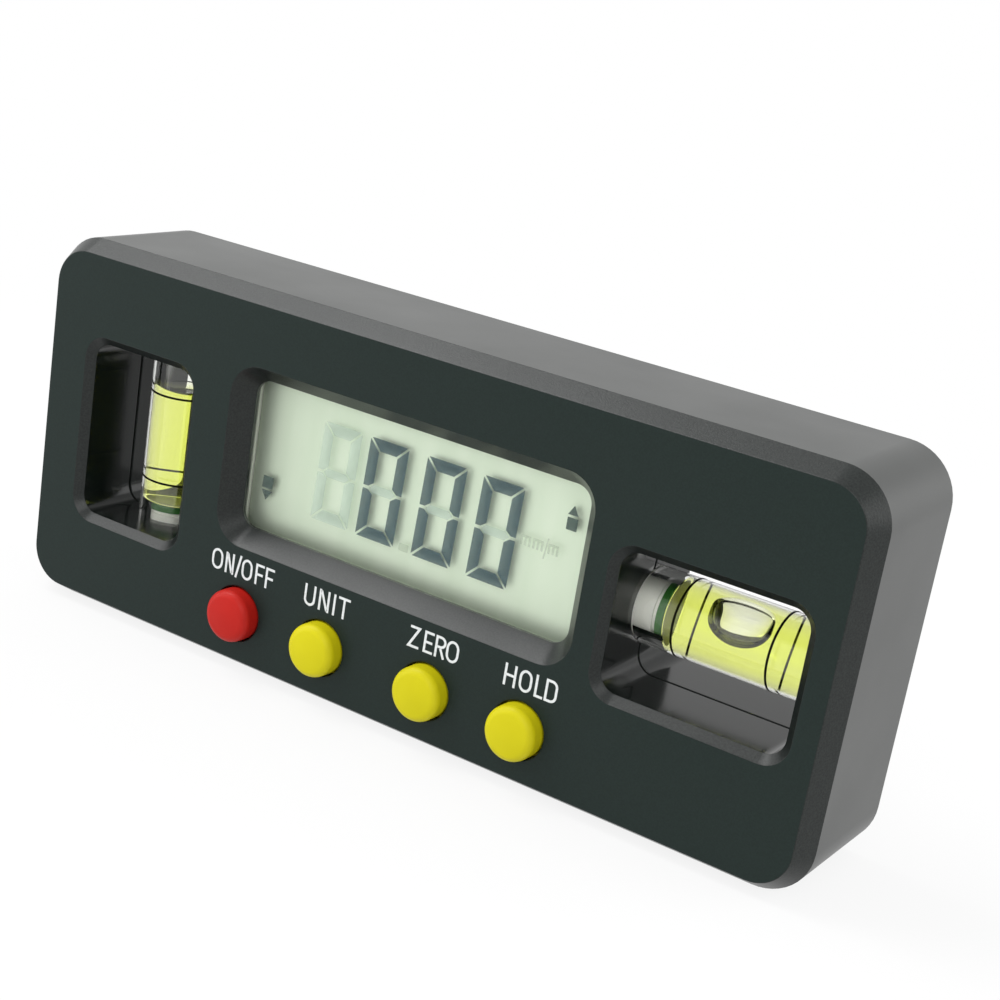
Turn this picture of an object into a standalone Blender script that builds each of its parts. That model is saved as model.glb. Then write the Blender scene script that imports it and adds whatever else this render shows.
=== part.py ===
"""Digital level box: a moulded case with a liquid crystal display, four push buttons, two spirit vials set
in through windows, and two AAA cells behind a hinged cover. Metres, +Z up, the face towards -Y."""

import math

import bmesh
import bpy
from mathutils import Matrix, Vector

# Gap kept between neighbouring pieces, and how far a cutter runs past what it cuts.
GAP = 0.0003
OVERRUN = 0.002

# Walls of the case.
SIDE_WALL = 0.0022
FACE_WALL = 0.0024
COVER_WALL = 0.0020
TUNNEL_WALL = 0.0016
RIB = 0.0012

# Outline of the case. Its bevel is shallow across the face and deeper along the sides.
CORNER_RADIUS = 0.0081
EDGE_BEVEL_INSET = 0.0020
EDGE_BEVEL_DEPTH = 0.0035

# Display recess: its outline on the face, and how far it slopes in before the opening.
RECESS_LENGTH = 0.0676
RECESS_HEIGHT = 0.0297
RECESS_RADIUS = 0.0054
RECESS_SLOPE = 0.0026
RECESS_DEPTH = 0.0034
RECESS_LIP = 0.0006
LENS_LAP = 0.0014
LENS_THICKNESS = 0.0010
GLASS_TRIM = 0.00025
GLASS_THICKNESS = 0.0022
POCKET_RIM = 0.0019
POCKET_DEPTH = 0.0018
HOLDER_WALL = 0.0012
STRIP_THICKNESS = 0.0016
STRIP_HEIGHT = 0.0020
STRIP_END = 0.0020
BOARD_THICKNESS = 0.0016
BOARD_LAP = 0.00095

# Windows for the vials, as they stand behind their bevel.
TUNNEL_LONG = 0.0295
TUNNEL_SHORT = 0.0215
TUNNEL_RADIUS = 0.0030
WINDOW_BEVEL = 0.0013

# Vials: a barrel-bored acrylic tube with one closed end and a white plug.
VIAL_RADIUS = 0.0060
VIAL_BORE_RADIUS = 0.0046
VIAL_BARREL = 0.00012
VIAL_DEPTH = 0.0125
VIAL_SEAT = 0.0024
VIAL_END_WALL = 0.0036
VIAL_EDGE = 0.0004
PLUG_LENGTH = 0.0056
SEAT_WALL = 0.0012
SEAT_RIM = 0.0012
BUBBLE_LENGTH = 0.0092
BUBBLE_WIDTH = 0.0070
BUBBLE_HEIGHT = 0.0048
BUBBLE_SINK = 0.0010
AIR_DEPTH = 0.0060

# Buttons and their switches.
BUTTON_RADIUS = 0.00435
BUTTON_PROUD = 0.0032
BUTTON_EDGE = 0.0009
BUTTON_DOME = 0.0002
BUTTON_TRAVEL = 0.0006
BUTTON_INNER_X = 0.0102
BUTTON_OUTER_X = 0.0274
FLANGE_LAP = 0.0007
FLANGE_THICKNESS = 0.0010
STEM_RADIUS = 0.0020
SWITCH_SIDE = 0.0060
SWITCH_HEIGHT = 0.0035
SWITCH_EDGE = 0.0004
PLUNGER_RADIUS = 0.00175
PLUNGER_PROUD = 0.0013
PLUNGER_SUNK = 0.0011

# Bands of plain face above, below and beside what is set into it. They add up to the size of the case.
BASE_BAND = 0.0055
LABEL_BAND = 0.00685
TITLE_BAND = 0.01175
WINDOW_BAND = 0.00475
END_BAND = 0.00695

# Cells, size AAA, and what holds them.
CELL_RADIUS = 0.00525
CELL_LENGTH = 0.0445
NUB_RADIUS = 0.0019
NUB_HEIGHT = 0.0012
CELL_EDGE = 0.0005
CONTACT_THICKNESS = 0.0004
CONTACT_WIDTH = 0.0080
TAIL_WIDTH = 0.0020
SPRING_LENGTH = 0.0050
SPRING_WIRE = 0.00025
SPRING_WIDE = 0.0036
SPRING_NARROW = 0.0022
SPRING_TURNS = 4
BAY_FLOOR = 0.0012
BAY_WALL = 0.0016
BAY_RISE = 0.0040
DOOR_THICKNESS = 0.0017
DOOR_LEDGE = 0.0018
DOOR_ROOM = 0.0004
LEDGE_THICKNESS = 0.0014
LEDGE_FRAME = 0.0020
BARREL_RADIUS = 0.0011
PIN_RADIUS = 0.0005
PIN_LENGTH = 0.0012
PIN_ROOM = 0.0003
LATCH_WIDTH = 0.0100
LATCH_HEIGHT = 0.0070
LATCH_SLOT = 0.0008
NAIL_WIDTH = 0.0080
NAIL_RADIUS = 0.0016

# Fasteners: case screws from the back, board screws into posts.
BOSS_RADIUS = 0.0034
CUP_RADIUS = 0.0042
HEAD_RADIUS = 0.0026
HEAD_HEIGHT = 0.0017
HEAD_SUNK = 0.0004
SCREW_RADIUS = 0.00125
SCREW_LENGTH = 0.0130
PILOT_END = 0.0010
CUP_FLOOR = 0.0030
POST_RADIUS = 0.0023
POST_MARGIN = 0.0008
BOARD_HEAD_RADIUS = 0.0019
BOARD_HEAD_HEIGHT = 0.0012
BOARD_SCREW_RADIUS = 0.0009
BOARD_SCREW_LENGTH = 0.0062

# Chips on the back of the board, and the magnets in the base.
CHIP_SIDE = 0.0090
CHIP_HEIGHT = 0.0014
CHIP_EDGE = 0.0008
SENSOR_SIDE = 0.0050
SENSOR_HEIGHT = 0.0012
SENSOR_X = 0.0150
CHIP_RISE = 0.0050
MAGNET_LENGTH = 0.0200
MAGNET_HEIGHT = 0.0030
MAGNET_DEPTH = 0.0080

# Facets of round pieces.
CORNER_STEPS = 6
HOLE_STEPS = 28
POST_STEPS = 16
VIAL_STEPS = 36
BUTTON_STEPS = 36

# The battery bay and its door, from the cells.
PITCH = 2 * CELL_RADIUS + GAP
BAY_LENGTH = CELL_LENGTH + SPRING_LENGTH + 2 * CONTACT_THICKNESS + 6 * GAP
BAY_HEIGHT = 4 * CELL_RADIUS + 3 * GAP
DOOR_LENGTH = BAY_LENGTH + 2 * DOOR_LEDGE
DOOR_HEIGHT = BAY_HEIGHT + 2 * DOOR_LEDGE

# The case, from the bands and what lies between them. The windows stand clear of the recess in front and of
# the door's ledge behind.
VIAL_LENGTH = TUNNEL_LONG + 2 * VIAL_SEAT
SEAT_REACH = VIAL_SEAT + GAP + SEAT_WALL
WINDOW_START = max(RECESS_LENGTH / 2 + WINDOW_BAND, DOOR_LENGTH / 2 + LEDGE_FRAME + SEAT_REACH + 2 * GAP)
BODY_HEIGHT = BASE_BAND + 2 * BUTTON_RADIUS + LABEL_BAND + RECESS_HEIGHT + TITLE_BAND
BODY_LENGTH = 2 * (WINDOW_START + TUNNEL_LONG + END_BAND)
HALF_LENGTH = BODY_LENGTH / 2
MID_HEIGHT = BODY_HEIGHT / 2
WINDOW_X = WINDOW_START + TUNNEL_LONG / 2
BUTTON_Z = BASE_BAND + BUTTON_RADIUS
DISPLAY_Z = BUTTON_Z + BUTTON_RADIUS + LABEL_BAND + RECESS_HEIGHT / 2
BAY_Z = MID_HEIGHT + BAY_RISE

# Depths behind the face, piece by piece from the recess to the back.
LENS_Y = RECESS_DEPTH + RECESS_LIP + GAP
GLASS_Y = LENS_Y + LENS_THICKNESS + GAP
POCKET_END = RECESS_DEPTH + RECESS_LIP + POCKET_DEPTH
STRIP_Y = GLASS_Y + GLASS_THICKNESS + GAP
BOARD_Y = STRIP_Y + STRIP_THICKNESS + GAP
BOARD_BACK = BOARD_Y + BOARD_THICKNESS
BAY_Y = BOARD_BACK + GAP
CELL_Y = BAY_Y + BAY_FLOOR + GAP + CELL_RADIUS
DOOR_Y = CELL_Y + CELL_RADIUS + DOOR_ROOM
BODY_DEPTH = DOOR_Y + DOOR_THICKNESS
COVER_Y = BODY_DEPTH - COVER_WALL
LEDGE_Y = DOOR_Y - GAP

# The origin stands under the middle of the whole piece, its buttons included.
FACE_Y = (BUTTON_PROUD - BODY_DEPTH) / 2

# Sizes that two pieces share.
OPENING_LENGTH = RECESS_LENGTH - 2 * RECESS_SLOPE
OPENING_HEIGHT = RECESS_HEIGHT - 2 * RECESS_SLOPE
LENS_LENGTH = OPENING_LENGTH + 2 * LENS_LAP
LENS_HEIGHT = OPENING_HEIGHT + 2 * LENS_LAP
POCKET_LENGTH = LENS_LENGTH + 2 * GAP
POCKET_HEIGHT = LENS_HEIGHT + 2 * GAP
PAD_LENGTH = POCKET_LENGTH + 2 * POCKET_RIM
PAD_HEIGHT = POCKET_HEIGHT + 2 * POCKET_RIM
GLASS_LENGTH = LENS_LENGTH - 2 * GLASS_TRIM
GLASS_HEIGHT = LENS_HEIGHT - 2 * GLASS_TRIM
PIN_Z = BAY_Z + DOOR_HEIGHT / 2 - BARREL_RADIUS
PIN_Y = BODY_DEPTH - BARREL_RADIUS
BOARD_LENGTH = POCKET_LENGTH + 2 * BOARD_LAP
POST_TOP_Z = DISPLAY_Z + PAD_HEIGHT / 2 + POST_RADIUS + POST_MARGIN
POST_TOP_X = BOARD_LENGTH / 2 - POST_RADIUS - POST_MARGIN
POST_LOW_X = (BUTTON_INNER_X + BUTTON_OUTER_X) / 2
POST_LOW_Z = BUTTON_Z - POST_RADIUS
BOARD_TOP = POST_TOP_Z + POST_RADIUS + POST_MARGIN
BOARD_LOW = POST_LOW_Z - POST_RADIUS - POST_MARGIN / 2
POST_END = BOARD_Y - GAP
CUP_Y = BODY_DEPTH - HEAD_SUNK - HEAD_HEIGHT - GAP - CUP_FLOOR
HEAD_Y = BODY_DEPTH - HEAD_SUNK - HEAD_HEIGHT
FLANGE_Y = FACE_WALL + GAP
STEM_END = BOARD_Y - GAP - SWITCH_HEIGHT - PLUNGER_PROUD - GAP

CASE = bpy.data.collections.new("digital_level_box")
CUTTERS = bpy.data.collections.new("cutters")


def clear_scene():
    for obj in list(bpy.data.objects):
        bpy.data.objects.remove(obj)
    for group in (CASE, CUTTERS):
        bpy.context.scene.collection.children.link(group)
    CUTTERS.hide_render = True
    frame = bpy.data.objects.new("case_frame", None)
    frame.location = (0, FACE_Y, 0)
    CASE.objects.link(frame)
    return frame


def finish(name, colour, roughness, metallic=0.0, clear=0.0):
    """A Principled BSDF of one colour, clear for glass and acrylic."""
    material = bpy.data.materials.new(name)
    material.use_nodes = True
    shader = material.node_tree.nodes["Principled BSDF"]
    shader.inputs["Base Color"].default_value = (*colour, 1.0)
    shader.inputs["Roughness"].default_value = roughness
    shader.inputs["Metallic"].default_value = metallic
    shader.inputs["Transmission Weight"].default_value = clear
    material.diffuse_color = (*colour, 1.0)
    return material


def prism(x, z, length, height, radius, y, *stages):
    """A rounded rectangle taken along +Y from y, in stages of (inset, travel), the first one straight."""
    shape = bmesh.new()
    travel = stages[0][1]
    place = Matrix.Translation((x, y + travel / 2, z)) @ Matrix.Diagonal((length, travel, height, 1))
    bmesh.ops.create_cube(shape, size=1, matrix=place)
    if radius:
        along = [
            edge for edge in shape.edges if abs(edge.verts[0].co.y - edge.verts[1].co.y) > travel / 2
        ]
        bmesh.ops.bevel(
            shape,
            geom=along,
            offset=radius,
            offset_type="OFFSET",
            segments=CORNER_STEPS,
            profile=0.5,
            affect="EDGES",
        )
    for inset, travel in stages[1:]:
        end = max(shape.faces, key=lambda face: face.calc_center_median().y)
        bmesh.ops.inset_region(shape, faces=[end], thickness=inset, depth=travel, use_even_offset=True)
    return shape


def box(x, y, z, length, depth, height):
    """A plain block between x, y and z and those plus its sizes."""
    return prism(x + length / 2, z + height / 2, length, height, 0, y, (0, depth))


def rod(start, end, radius, steps):
    """A cylinder between two points."""
    start, end = Vector(start), Vector(end)
    axis = end - start
    place = Matrix.Translation((start + end) / 2) @ axis.to_track_quat("Z", "Y").to_matrix().to_4x4()
    shape = bmesh.new()
    bmesh.ops.create_cone(
        shape,
        cap_ends=True,
        segments=steps,
        radius1=radius,
        radius2=radius,
        depth=axis.length,
        matrix=place,
    )
    return shape


def bar(outline, start, length):
    """An outline in y and z taken along +X."""
    shape = bmesh.new()
    end = shape.faces.new([shape.verts.new((start, y, z)) for y, z in outline])
    moved = bmesh.ops.extrude_face_region(shape, geom=[end])["geom"]
    corners = [item for item in moved if isinstance(item, bmesh.types.BMVert)]
    bmesh.ops.translate(shape, verts=corners, vec=(length, 0, 0))
    return shape


def ball(x, y, z, length, depth, height, steps=16):
    shape = bmesh.new()
    place = Matrix.Translation((x, y, z)) @ Matrix.Diagonal((length, depth, height, 1))
    bmesh.ops.create_uvsphere(shape, u_segments=steps, v_segments=steps // 2, radius=0.5, matrix=place)
    return shape


def as_object(name, shapes, material=None, location=(0, 0, 0), rotation=(0, 0, 0)):
    """One object from shapes that don't touch: a piece where a material is given, or else a cutter."""
    mesh = bpy.data.meshes.new(name)
    whole = bmesh.new()
    for shape in shapes:
        shape.to_mesh(mesh)
        whole.from_mesh(mesh)
        shape.free()
    bmesh.ops.recalc_face_normals(whole, faces=whole.faces)
    whole.to_mesh(mesh)
    whole.free()
    obj = bpy.data.objects.new(name, mesh)
    obj.location = location
    obj.rotation_euler = rotation
    obj.parent = FRAME
    if material:
        mesh.materials.append(material)
        mesh.shade_smooth()
        mesh.set_sharp_from_angle(angle=math.radians(30))
        CASE.objects.link(obj)
    else:
        obj.hide_render = True
        obj.display_type = "WIRE"
        CUTTERS.objects.link(obj)
    return obj


def change(piece, name, operation, *shapes, location=(0, 0, 0)):
    """Cuts shapes that don't touch from a piece, or joins them to it, in one Boolean."""
    modifier = piece.modifiers.new(name, "BOOLEAN")
    modifier.object = as_object(f"{piece.name}_{name}", shapes, location=location)
    modifier.operation = operation
    modifier.solver = "EXACT"


def turned(name, profile, steps, material, location, rotation):
    """A solid of revolution about its own Z, from (radius, z) points down the outer side."""
    mesh = bpy.data.meshes.new(name)
    points = [(radius, 0, z) for radius, z in profile]
    mesh.from_pydata(points, [(i, i + 1) for i in range(len(points) - 1)], [])
    obj = bpy.data.objects.new(name, mesh)
    obj.location = location
    obj.rotation_euler = rotation
    obj.parent = FRAME
    mesh.materials.append(material)
    screw = obj.modifiers.new("turn", "SCREW")
    screw.steps = screw.render_steps = steps
    screw.use_merge_vertices = True
    screw.merge_threshold = 1e-6
    screw.use_smooth_shade = True
    CASE.objects.link(obj)
    return obj


def mirrored(place, *others):
    """Both signs of an x place, with the other values kept."""
    return [(sign * place, *others) for sign in (-1, 1)]


def corners_of_case():
    reach_x = HALF_LENGTH - CORNER_RADIUS
    return mirrored(reach_x, CORNER_RADIUS) + mirrored(reach_x, BODY_HEIGHT - CORNER_RADIUS)


def board_posts():
    return mirrored(POST_TOP_X, POST_TOP_Z) + mirrored(POST_LOW_X, POST_LOW_Z)


WINDOWS = {
    "vertical": (-WINDOW_X, TUNNEL_SHORT, TUNNEL_LONG),
    "horizontal": (WINDOW_X, TUNNEL_LONG, TUNNEL_SHORT),
}
BUTTONS = {
    "on_off": -BUTTON_OUTER_X,
    "unit": -BUTTON_INNER_X,
    "zero": BUTTON_INNER_X,
    "hold": BUTTON_OUTER_X,
}


def window_tunnels(y, depth):
    return [
        prism(
            x,
            MID_HEIGHT,
            wide + 2 * TUNNEL_WALL,
            tall + 2 * TUNNEL_WALL,
            TUNNEL_RADIUS + TUNNEL_WALL,
            y,
            (0, depth),
        )
        for x, wide, tall in WINDOWS.values()
    ]


def vial_blocks(y, depth):
    """The thick ends of each window, which the vial's two ends are bedded in."""
    side = 2 * (VIAL_RADIUS + GAP + SEAT_RIM)
    upright, level = WINDOWS["vertical"][0], WINDOWS["horizontal"][0]
    reach = TUNNEL_LONG / 2
    bite = TUNNEL_WALL / 2
    return [
        box(upright - side / 2, y, MID_HEIGHT + reach + bite, side, depth, SEAT_REACH - bite),
        box(upright - side / 2, y, MID_HEIGHT - reach - SEAT_REACH, side, depth, SEAT_REACH - bite),
        box(level + reach + bite, y, MID_HEIGHT - side / 2, SEAT_REACH - bite, depth, side),
        box(level - reach - SEAT_REACH, y, MID_HEIGHT - side / 2, SEAT_REACH - bite, depth, side),
    ]


def vial_beds():
    radius = VIAL_RADIUS + GAP
    half = VIAL_LENGTH / 2 + GAP
    upright, level = WINDOWS["vertical"][0], WINDOWS["horizontal"][0]
    top, low = MID_HEIGHT + half, MID_HEIGHT - half
    return [
        rod((upright, VIAL_DEPTH, low), (upright, VIAL_DEPTH, top), radius, VIAL_STEPS),
        rod(
            (level - half, VIAL_DEPTH, MID_HEIGHT),
            (level + half, VIAL_DEPTH, MID_HEIGHT),
            radius,
            VIAL_STEPS,
        ),
    ]


def front_shell(plastic):
    """The face and all four sides in one moulding, open at the back."""
    bevel_start = BODY_DEPTH - EDGE_BEVEL_DEPTH
    outer = prism(
        0,
        MID_HEIGHT,
        BODY_LENGTH,
        BODY_HEIGHT,
        CORNER_RADIUS,
        0,
        (0, bevel_start),
        (EDGE_BEVEL_INSET, EDGE_BEVEL_DEPTH),
    )
    # It is drawn from the back, so it is turned round to bring the bevel to the face.
    facing = Matrix.Translation((0, BODY_DEPTH, 0)) @ Matrix.Scale(-1, 4, (0, 1, 0))
    bmesh.ops.transform(outer, matrix=facing, verts=outer.verts)
    shell = as_object("front_shell", [outer], plastic)
    inner_length = BODY_LENGTH - 2 * SIDE_WALL
    inner_height = BODY_HEIGHT - 2 * SIDE_WALL
    hollow = prism(
        0, MID_HEIGHT, inner_length, inner_height, CORNER_RADIUS - SIDE_WALL, FACE_WALL, (0, BODY_DEPTH)
    )
    change(shell, "hollow", "DIFFERENCE", hollow)

    root = FACE_WALL / 2
    parting = VIAL_DEPTH - GAP / 2
    pad = prism(0, DISPLAY_Z, PAD_LENGTH, PAD_HEIGHT, RECESS_RADIUS, root, (0, POCKET_END - root))
    bosses = [
        rod((x, root, z), (x, CUP_Y - GAP, z), BOSS_RADIUS, HOLE_STEPS) for x, z in corners_of_case()
    ]
    posts = [rod((x, root, z), (x, POST_END, z), POST_RADIUS, POST_STEPS) for x, z in board_posts()]
    change(shell, "tunnels", "UNION", pad, *window_tunnels(root, parting - root), *bosses, *posts)
    change(shell, "seats", "UNION", *vial_blocks(root, parting - root))

    low_wall = SIDE_WALL / 2
    rib_height = SIDE_WALL - low_wall + GAP + MAGNET_HEIGHT / 2
    rib_x = MAGNET_LENGTH / 2 + GAP
    rib_y = VIAL_DEPTH - MAGNET_DEPTH / 2
    ribs = [
        box(side * WINDOW_X + place, rib_y, low_wall, RIB, MAGNET_DEPTH, rib_height)
        for side in (-1, 1)
        for place in (-rib_x - RIB, rib_x)
    ]
    change(shell, "magnet_ribs", "UNION", *ribs)

    flare = WINDOW_BEVEL
    openings = [
        prism(
            x,
            MID_HEIGHT,
            wide + 2 * flare,
            tall + 2 * flare,
            TUNNEL_RADIUS + flare,
            -OVERRUN,
            (0, OVERRUN),
            (flare, flare),
            (0, VIAL_DEPTH),
        )
        for x, wide, tall in WINDOWS.values()
    ]
    lip = RECESS_LIP + OVERRUN
    recess = prism(
        0,
        DISPLAY_Z,
        RECESS_LENGTH,
        RECESS_HEIGHT,
        RECESS_RADIUS,
        -OVERRUN,
        (0, OVERRUN),
        (RECESS_SLOPE, RECESS_DEPTH),
        (0, lip),
    )
    holes = [
        rod(
            (x, -OVERRUN, BUTTON_Z), (x, FACE_WALL + OVERRUN, BUTTON_Z), BUTTON_RADIUS + GAP, BUTTON_STEPS
        )
        for x in BUTTONS.values()
    ]
    change(shell, "openings", "DIFFERENCE", *openings, recess, *holes)

    pocket_y = RECESS_DEPTH + RECESS_LIP
    pocket = prism(0, DISPLAY_Z, POCKET_LENGTH, POCKET_HEIGHT, 0, pocket_y, (0, POCKET_DEPTH + OVERRUN))
    pilot_end = HEAD_Y - SCREW_LENGTH - PILOT_END
    radius = SCREW_RADIUS + GAP
    pilots = [rod((x, pilot_end, z), (x, CUP_Y, z), radius, POST_STEPS) for x, z in corners_of_case()]
    board_end = BOARD_BACK + GAP - BOARD_SCREW_LENGTH - PILOT_END
    radius = BOARD_SCREW_RADIUS + GAP
    board_pilots = [rod((x, board_end, z), (x, BOARD_Y, z), radius, POST_STEPS) for x, z in board_posts()]
    change(shell, "pockets", "DIFFERENCE", pocket, *pilots, *board_pilots, *vial_beds())
    return shell


def back_cover(plastic):
    """A plate let into the back of the shell, with each window's rear half and the bay for the cells."""
    length = BODY_LENGTH - 2 * (SIDE_WALL + GAP)
    height = BODY_HEIGHT - 2 * (SIDE_WALL + GAP)
    radius = CORNER_RADIUS - SIDE_WALL - GAP
    cover = as_object(
        "back_cover", [prism(0, MID_HEIGHT, length, height, radius, COVER_Y, (0, COVER_WALL))], plastic
    )
    root = COVER_Y + COVER_WALL / 2
    parting = VIAL_DEPTH + GAP / 2
    wall = 2 * BAY_WALL
    bay = prism(0, BAY_Z, BAY_LENGTH + wall, BAY_HEIGHT + wall, BAY_WALL, BAY_Y, (0, root - BAY_Y))
    cups = [rod((x, CUP_Y, z), (x, root, z), CUP_RADIUS, HOLE_STEPS) for x, z in corners_of_case()]
    change(cover, "tunnels", "UNION", bay, *window_tunnels(parting, root - parting), *cups)
    frame = 2 * (GAP + LEDGE_FRAME)
    ledge_front = LEDGE_Y - LEDGE_THICKNESS
    ledge = prism(
        0, BAY_Z, DOOR_LENGTH + frame, DOOR_HEIGHT + frame, BAY_WALL, ledge_front, (0, root - ledge_front)
    )
    change(cover, "seats", "UNION", ledge, *vial_blocks(parting, root - parting))

    flare = WINDOW_BEVEL
    past = BODY_DEPTH + OVERRUN
    openings = []
    for x, wide, tall in WINDOWS.values():
        opening = prism(
            x,
            MID_HEIGHT,
            wide + 2 * flare,
            tall + 2 * flare,
            TUNNEL_RADIUS + flare,
            -past,
            (0, OVERRUN),
            (flare, flare),
            (0, BODY_DEPTH),
        )
        bmesh.ops.transform(opening, matrix=Matrix.Scale(-1, 4, (0, 1, 0)), verts=opening.verts)
        openings.append(opening)
    bay_front = BAY_Y + BAY_FLOOR
    room = prism(0, BAY_Z, BAY_LENGTH, BAY_HEIGHT, 0, bay_front, (0, past - bay_front))
    change(cover, "openings", "DIFFERENCE", room, *openings)

    door = prism(
        0, BAY_Z, DOOR_LENGTH + 2 * GAP, DOOR_HEIGHT + 2 * GAP, 0, LEDGE_Y, (0, past - LEDGE_Y)
    )
    radius = HEAD_RADIUS + GAP
    heads = [rod((x, HEAD_Y - GAP, z), (x, past, z), radius, HOLE_STEPS) for x, z in corners_of_case()]
    change(cover, "door_recess", "DIFFERENCE", door, *heads, *vial_beds())
    groove_side = 2 * (BARREL_RADIUS + PIN_ROOM)
    groove = box(
        -DOOR_LENGTH / 2 - GAP,
        PIN_Y - groove_side / 2,
        PIN_Z - groove_side / 2,
        DOOR_LENGTH + 2 * GAP,
        groove_side,
        groove_side,
    )
    radius = SCREW_RADIUS + GAP
    shanks = [
        rod((x, CUP_Y - OVERRUN, z), (x, past, z), radius, POST_STEPS) for x, z in corners_of_case()
    ]
    nail_z = BAY_Z - DOOR_HEIGHT / 2
    nail = rod(
        (-NAIL_WIDTH / 2, BODY_DEPTH, nail_z), (
            NAIL_WIDTH / 2, BODY_DEPTH, nail_z
        ), NAIL_RADIUS, POST_STEPS
    )
    change(cover, "groove", "DIFFERENCE", groove, *shanks, nail)
    reach = DOOR_LENGTH / 2 + PIN_LENGTH + PIN_ROOM
    pivots = rod((-reach, PIN_Y, PIN_Z), (reach, PIN_Y, PIN_Z), PIN_RADIUS + PIN_ROOM, POST_STEPS)
    tails = [box(*corner, *TAIL_SLOT) for corner in tail_slots()]
    change(cover, "pivots", "DIFFERENCE", pivots, *tails)
    return cover


TAIL_SLOT = (CONTACT_THICKNESS + 2 * GAP, BAY_FLOOR + 2 * OVERRUN, TAIL_WIDTH + 2 * GAP)


def tail_slots():
    """Corners of the slots in the bay's floor: two at the left for the poles, one at the right."""
    y = BAY_Y - OVERRUN
    half = TAIL_WIDTH / 2 + GAP
    left = -BAY_LENGTH / 2
    right = BAY_LENGTH / 2 - TAIL_SLOT[0]
    return [
        (left, y, BAY_Z + PITCH / 2 - half), (left, y, BAY_Z - PITCH / 2 - half), (right, y, BAY_Z - half)
    ]


def battery_cover(plastic):
    """A lid whose rounded top edge turns on two stub pins, with a snap tongue cut into its lower edge."""
    low = -(DOOR_HEIGHT - BARREL_RADIUS)
    half = DOOR_LENGTH / 2
    plate_y = BARREL_RADIUS - DOOR_THICKNESS
    last = 2 * math.pi - math.acos(plate_y / BARREL_RADIUS)
    arc = [last * step / HOLE_STEPS for step in range(HOLE_STEPS + 1)]
    edge = [(BARREL_RADIUS * math.cos(angle), BARREL_RADIUS * math.sin(angle)) for angle in arc]
    plate = bar([(plate_y, low), (BARREL_RADIUS, low), *edge], -half, DOOR_LENGTH)
    hinge = (0, PIN_Y, PIN_Z)
    door = as_object("battery_cover", [plate], plastic, location=hinge)
    pins = rod((-half - PIN_LENGTH, 0, 0), (half + PIN_LENGTH, 0, 0), PIN_RADIUS, POST_STEPS)
    change(door, "pins", "UNION", pins, location=hinge)
    past = DOOR_THICKNESS + 2 * OVERRUN
    slots = [
        box(x, plate_y - OVERRUN, low - OVERRUN, LATCH_SLOT, past, LATCH_HEIGHT + OVERRUN)
        for x in (-LATCH_WIDTH / 2 - LATCH_SLOT, LATCH_WIDTH / 2)
    ]
    change(door, "latch", "DIFFERENCE", *slots, location=hinge)
    return door


def ring(name, material, length, height, inner_length, inner_height, y, depth):
    """A rectangular frame."""
    frame = as_object(name, [prism(0, DISPLAY_Z, length, height, GAP * 2, y, (0, depth))], material)
    hole = prism(0, DISPLAY_Z, inner_length, inner_height, 0, y - OVERRUN, (0, depth + 2 * OVERRUN))
    change(frame, "hole", "DIFFERENCE", hole)
    return frame


def display(clear, glass, plastic, rubber):
    """The clear window, the glass with its contact ledges, the frame behind it and the rubber connectors."""
    as_object(
        "display_window", [
            prism(0, DISPLAY_Z, LENS_LENGTH, LENS_HEIGHT, 0, LENS_Y, (0, LENS_THICKNESS))
        ], clear
    )
    panel = as_object(
        "display_glass", [
            prism(0, DISPLAY_Z, GLASS_LENGTH, GLASS_HEIGHT, 0, GLASS_Y, (0, GLASS_THICKNESS))
        ], glass
    )
    half_glass = GLASS_THICKNESS / 2
    start = -GLASS_LENGTH / 2 - OVERRUN
    past = half_glass + OVERRUN
    ledges = [
        box(start, GLASS_Y + half_glass, z, GLASS_LENGTH + 2 * OVERRUN, past, STRIP_HEIGHT + OVERRUN)
        for z in (DISPLAY_Z + GLASS_HEIGHT / 2 - STRIP_HEIGHT, DISPLAY_Z - GLASS_HEIGHT / 2 - OVERRUN)
    ]
    change(panel, "ledges", "DIFFERENCE", *ledges)
    holder_y = POCKET_END + GAP
    inner_length = GLASS_LENGTH + 2 * GAP
    inner_height = GLASS_HEIGHT + 2 * GAP
    ring(
        "display_holder",
        plastic,
        inner_length + 2 * HOLDER_WALL,
        inner_height + 2 * HOLDER_WALL,
        inner_length,
        inner_height,
        holder_y,
        BOARD_Y - GAP - holder_y,
    )
    strip_length = GLASS_LENGTH - 2 * STRIP_END
    strip_y = GLASS_Y + half_glass + GAP
    height = STRIP_HEIGHT - 2 * GAP
    for name, z in (
        ("upper", DISPLAY_Z + GLASS_HEIGHT / 2 - STRIP_HEIGHT / 2),
        ("lower", DISPLAY_Z - GLASS_HEIGHT / 2 + STRIP_HEIGHT / 2),
    ):
        strip = prism(0, z, strip_length, height, 0, strip_y, (0, BOARD_Y - GAP - strip_y))
        as_object(f"{name}_connector_strip", [strip], rubber)


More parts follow.
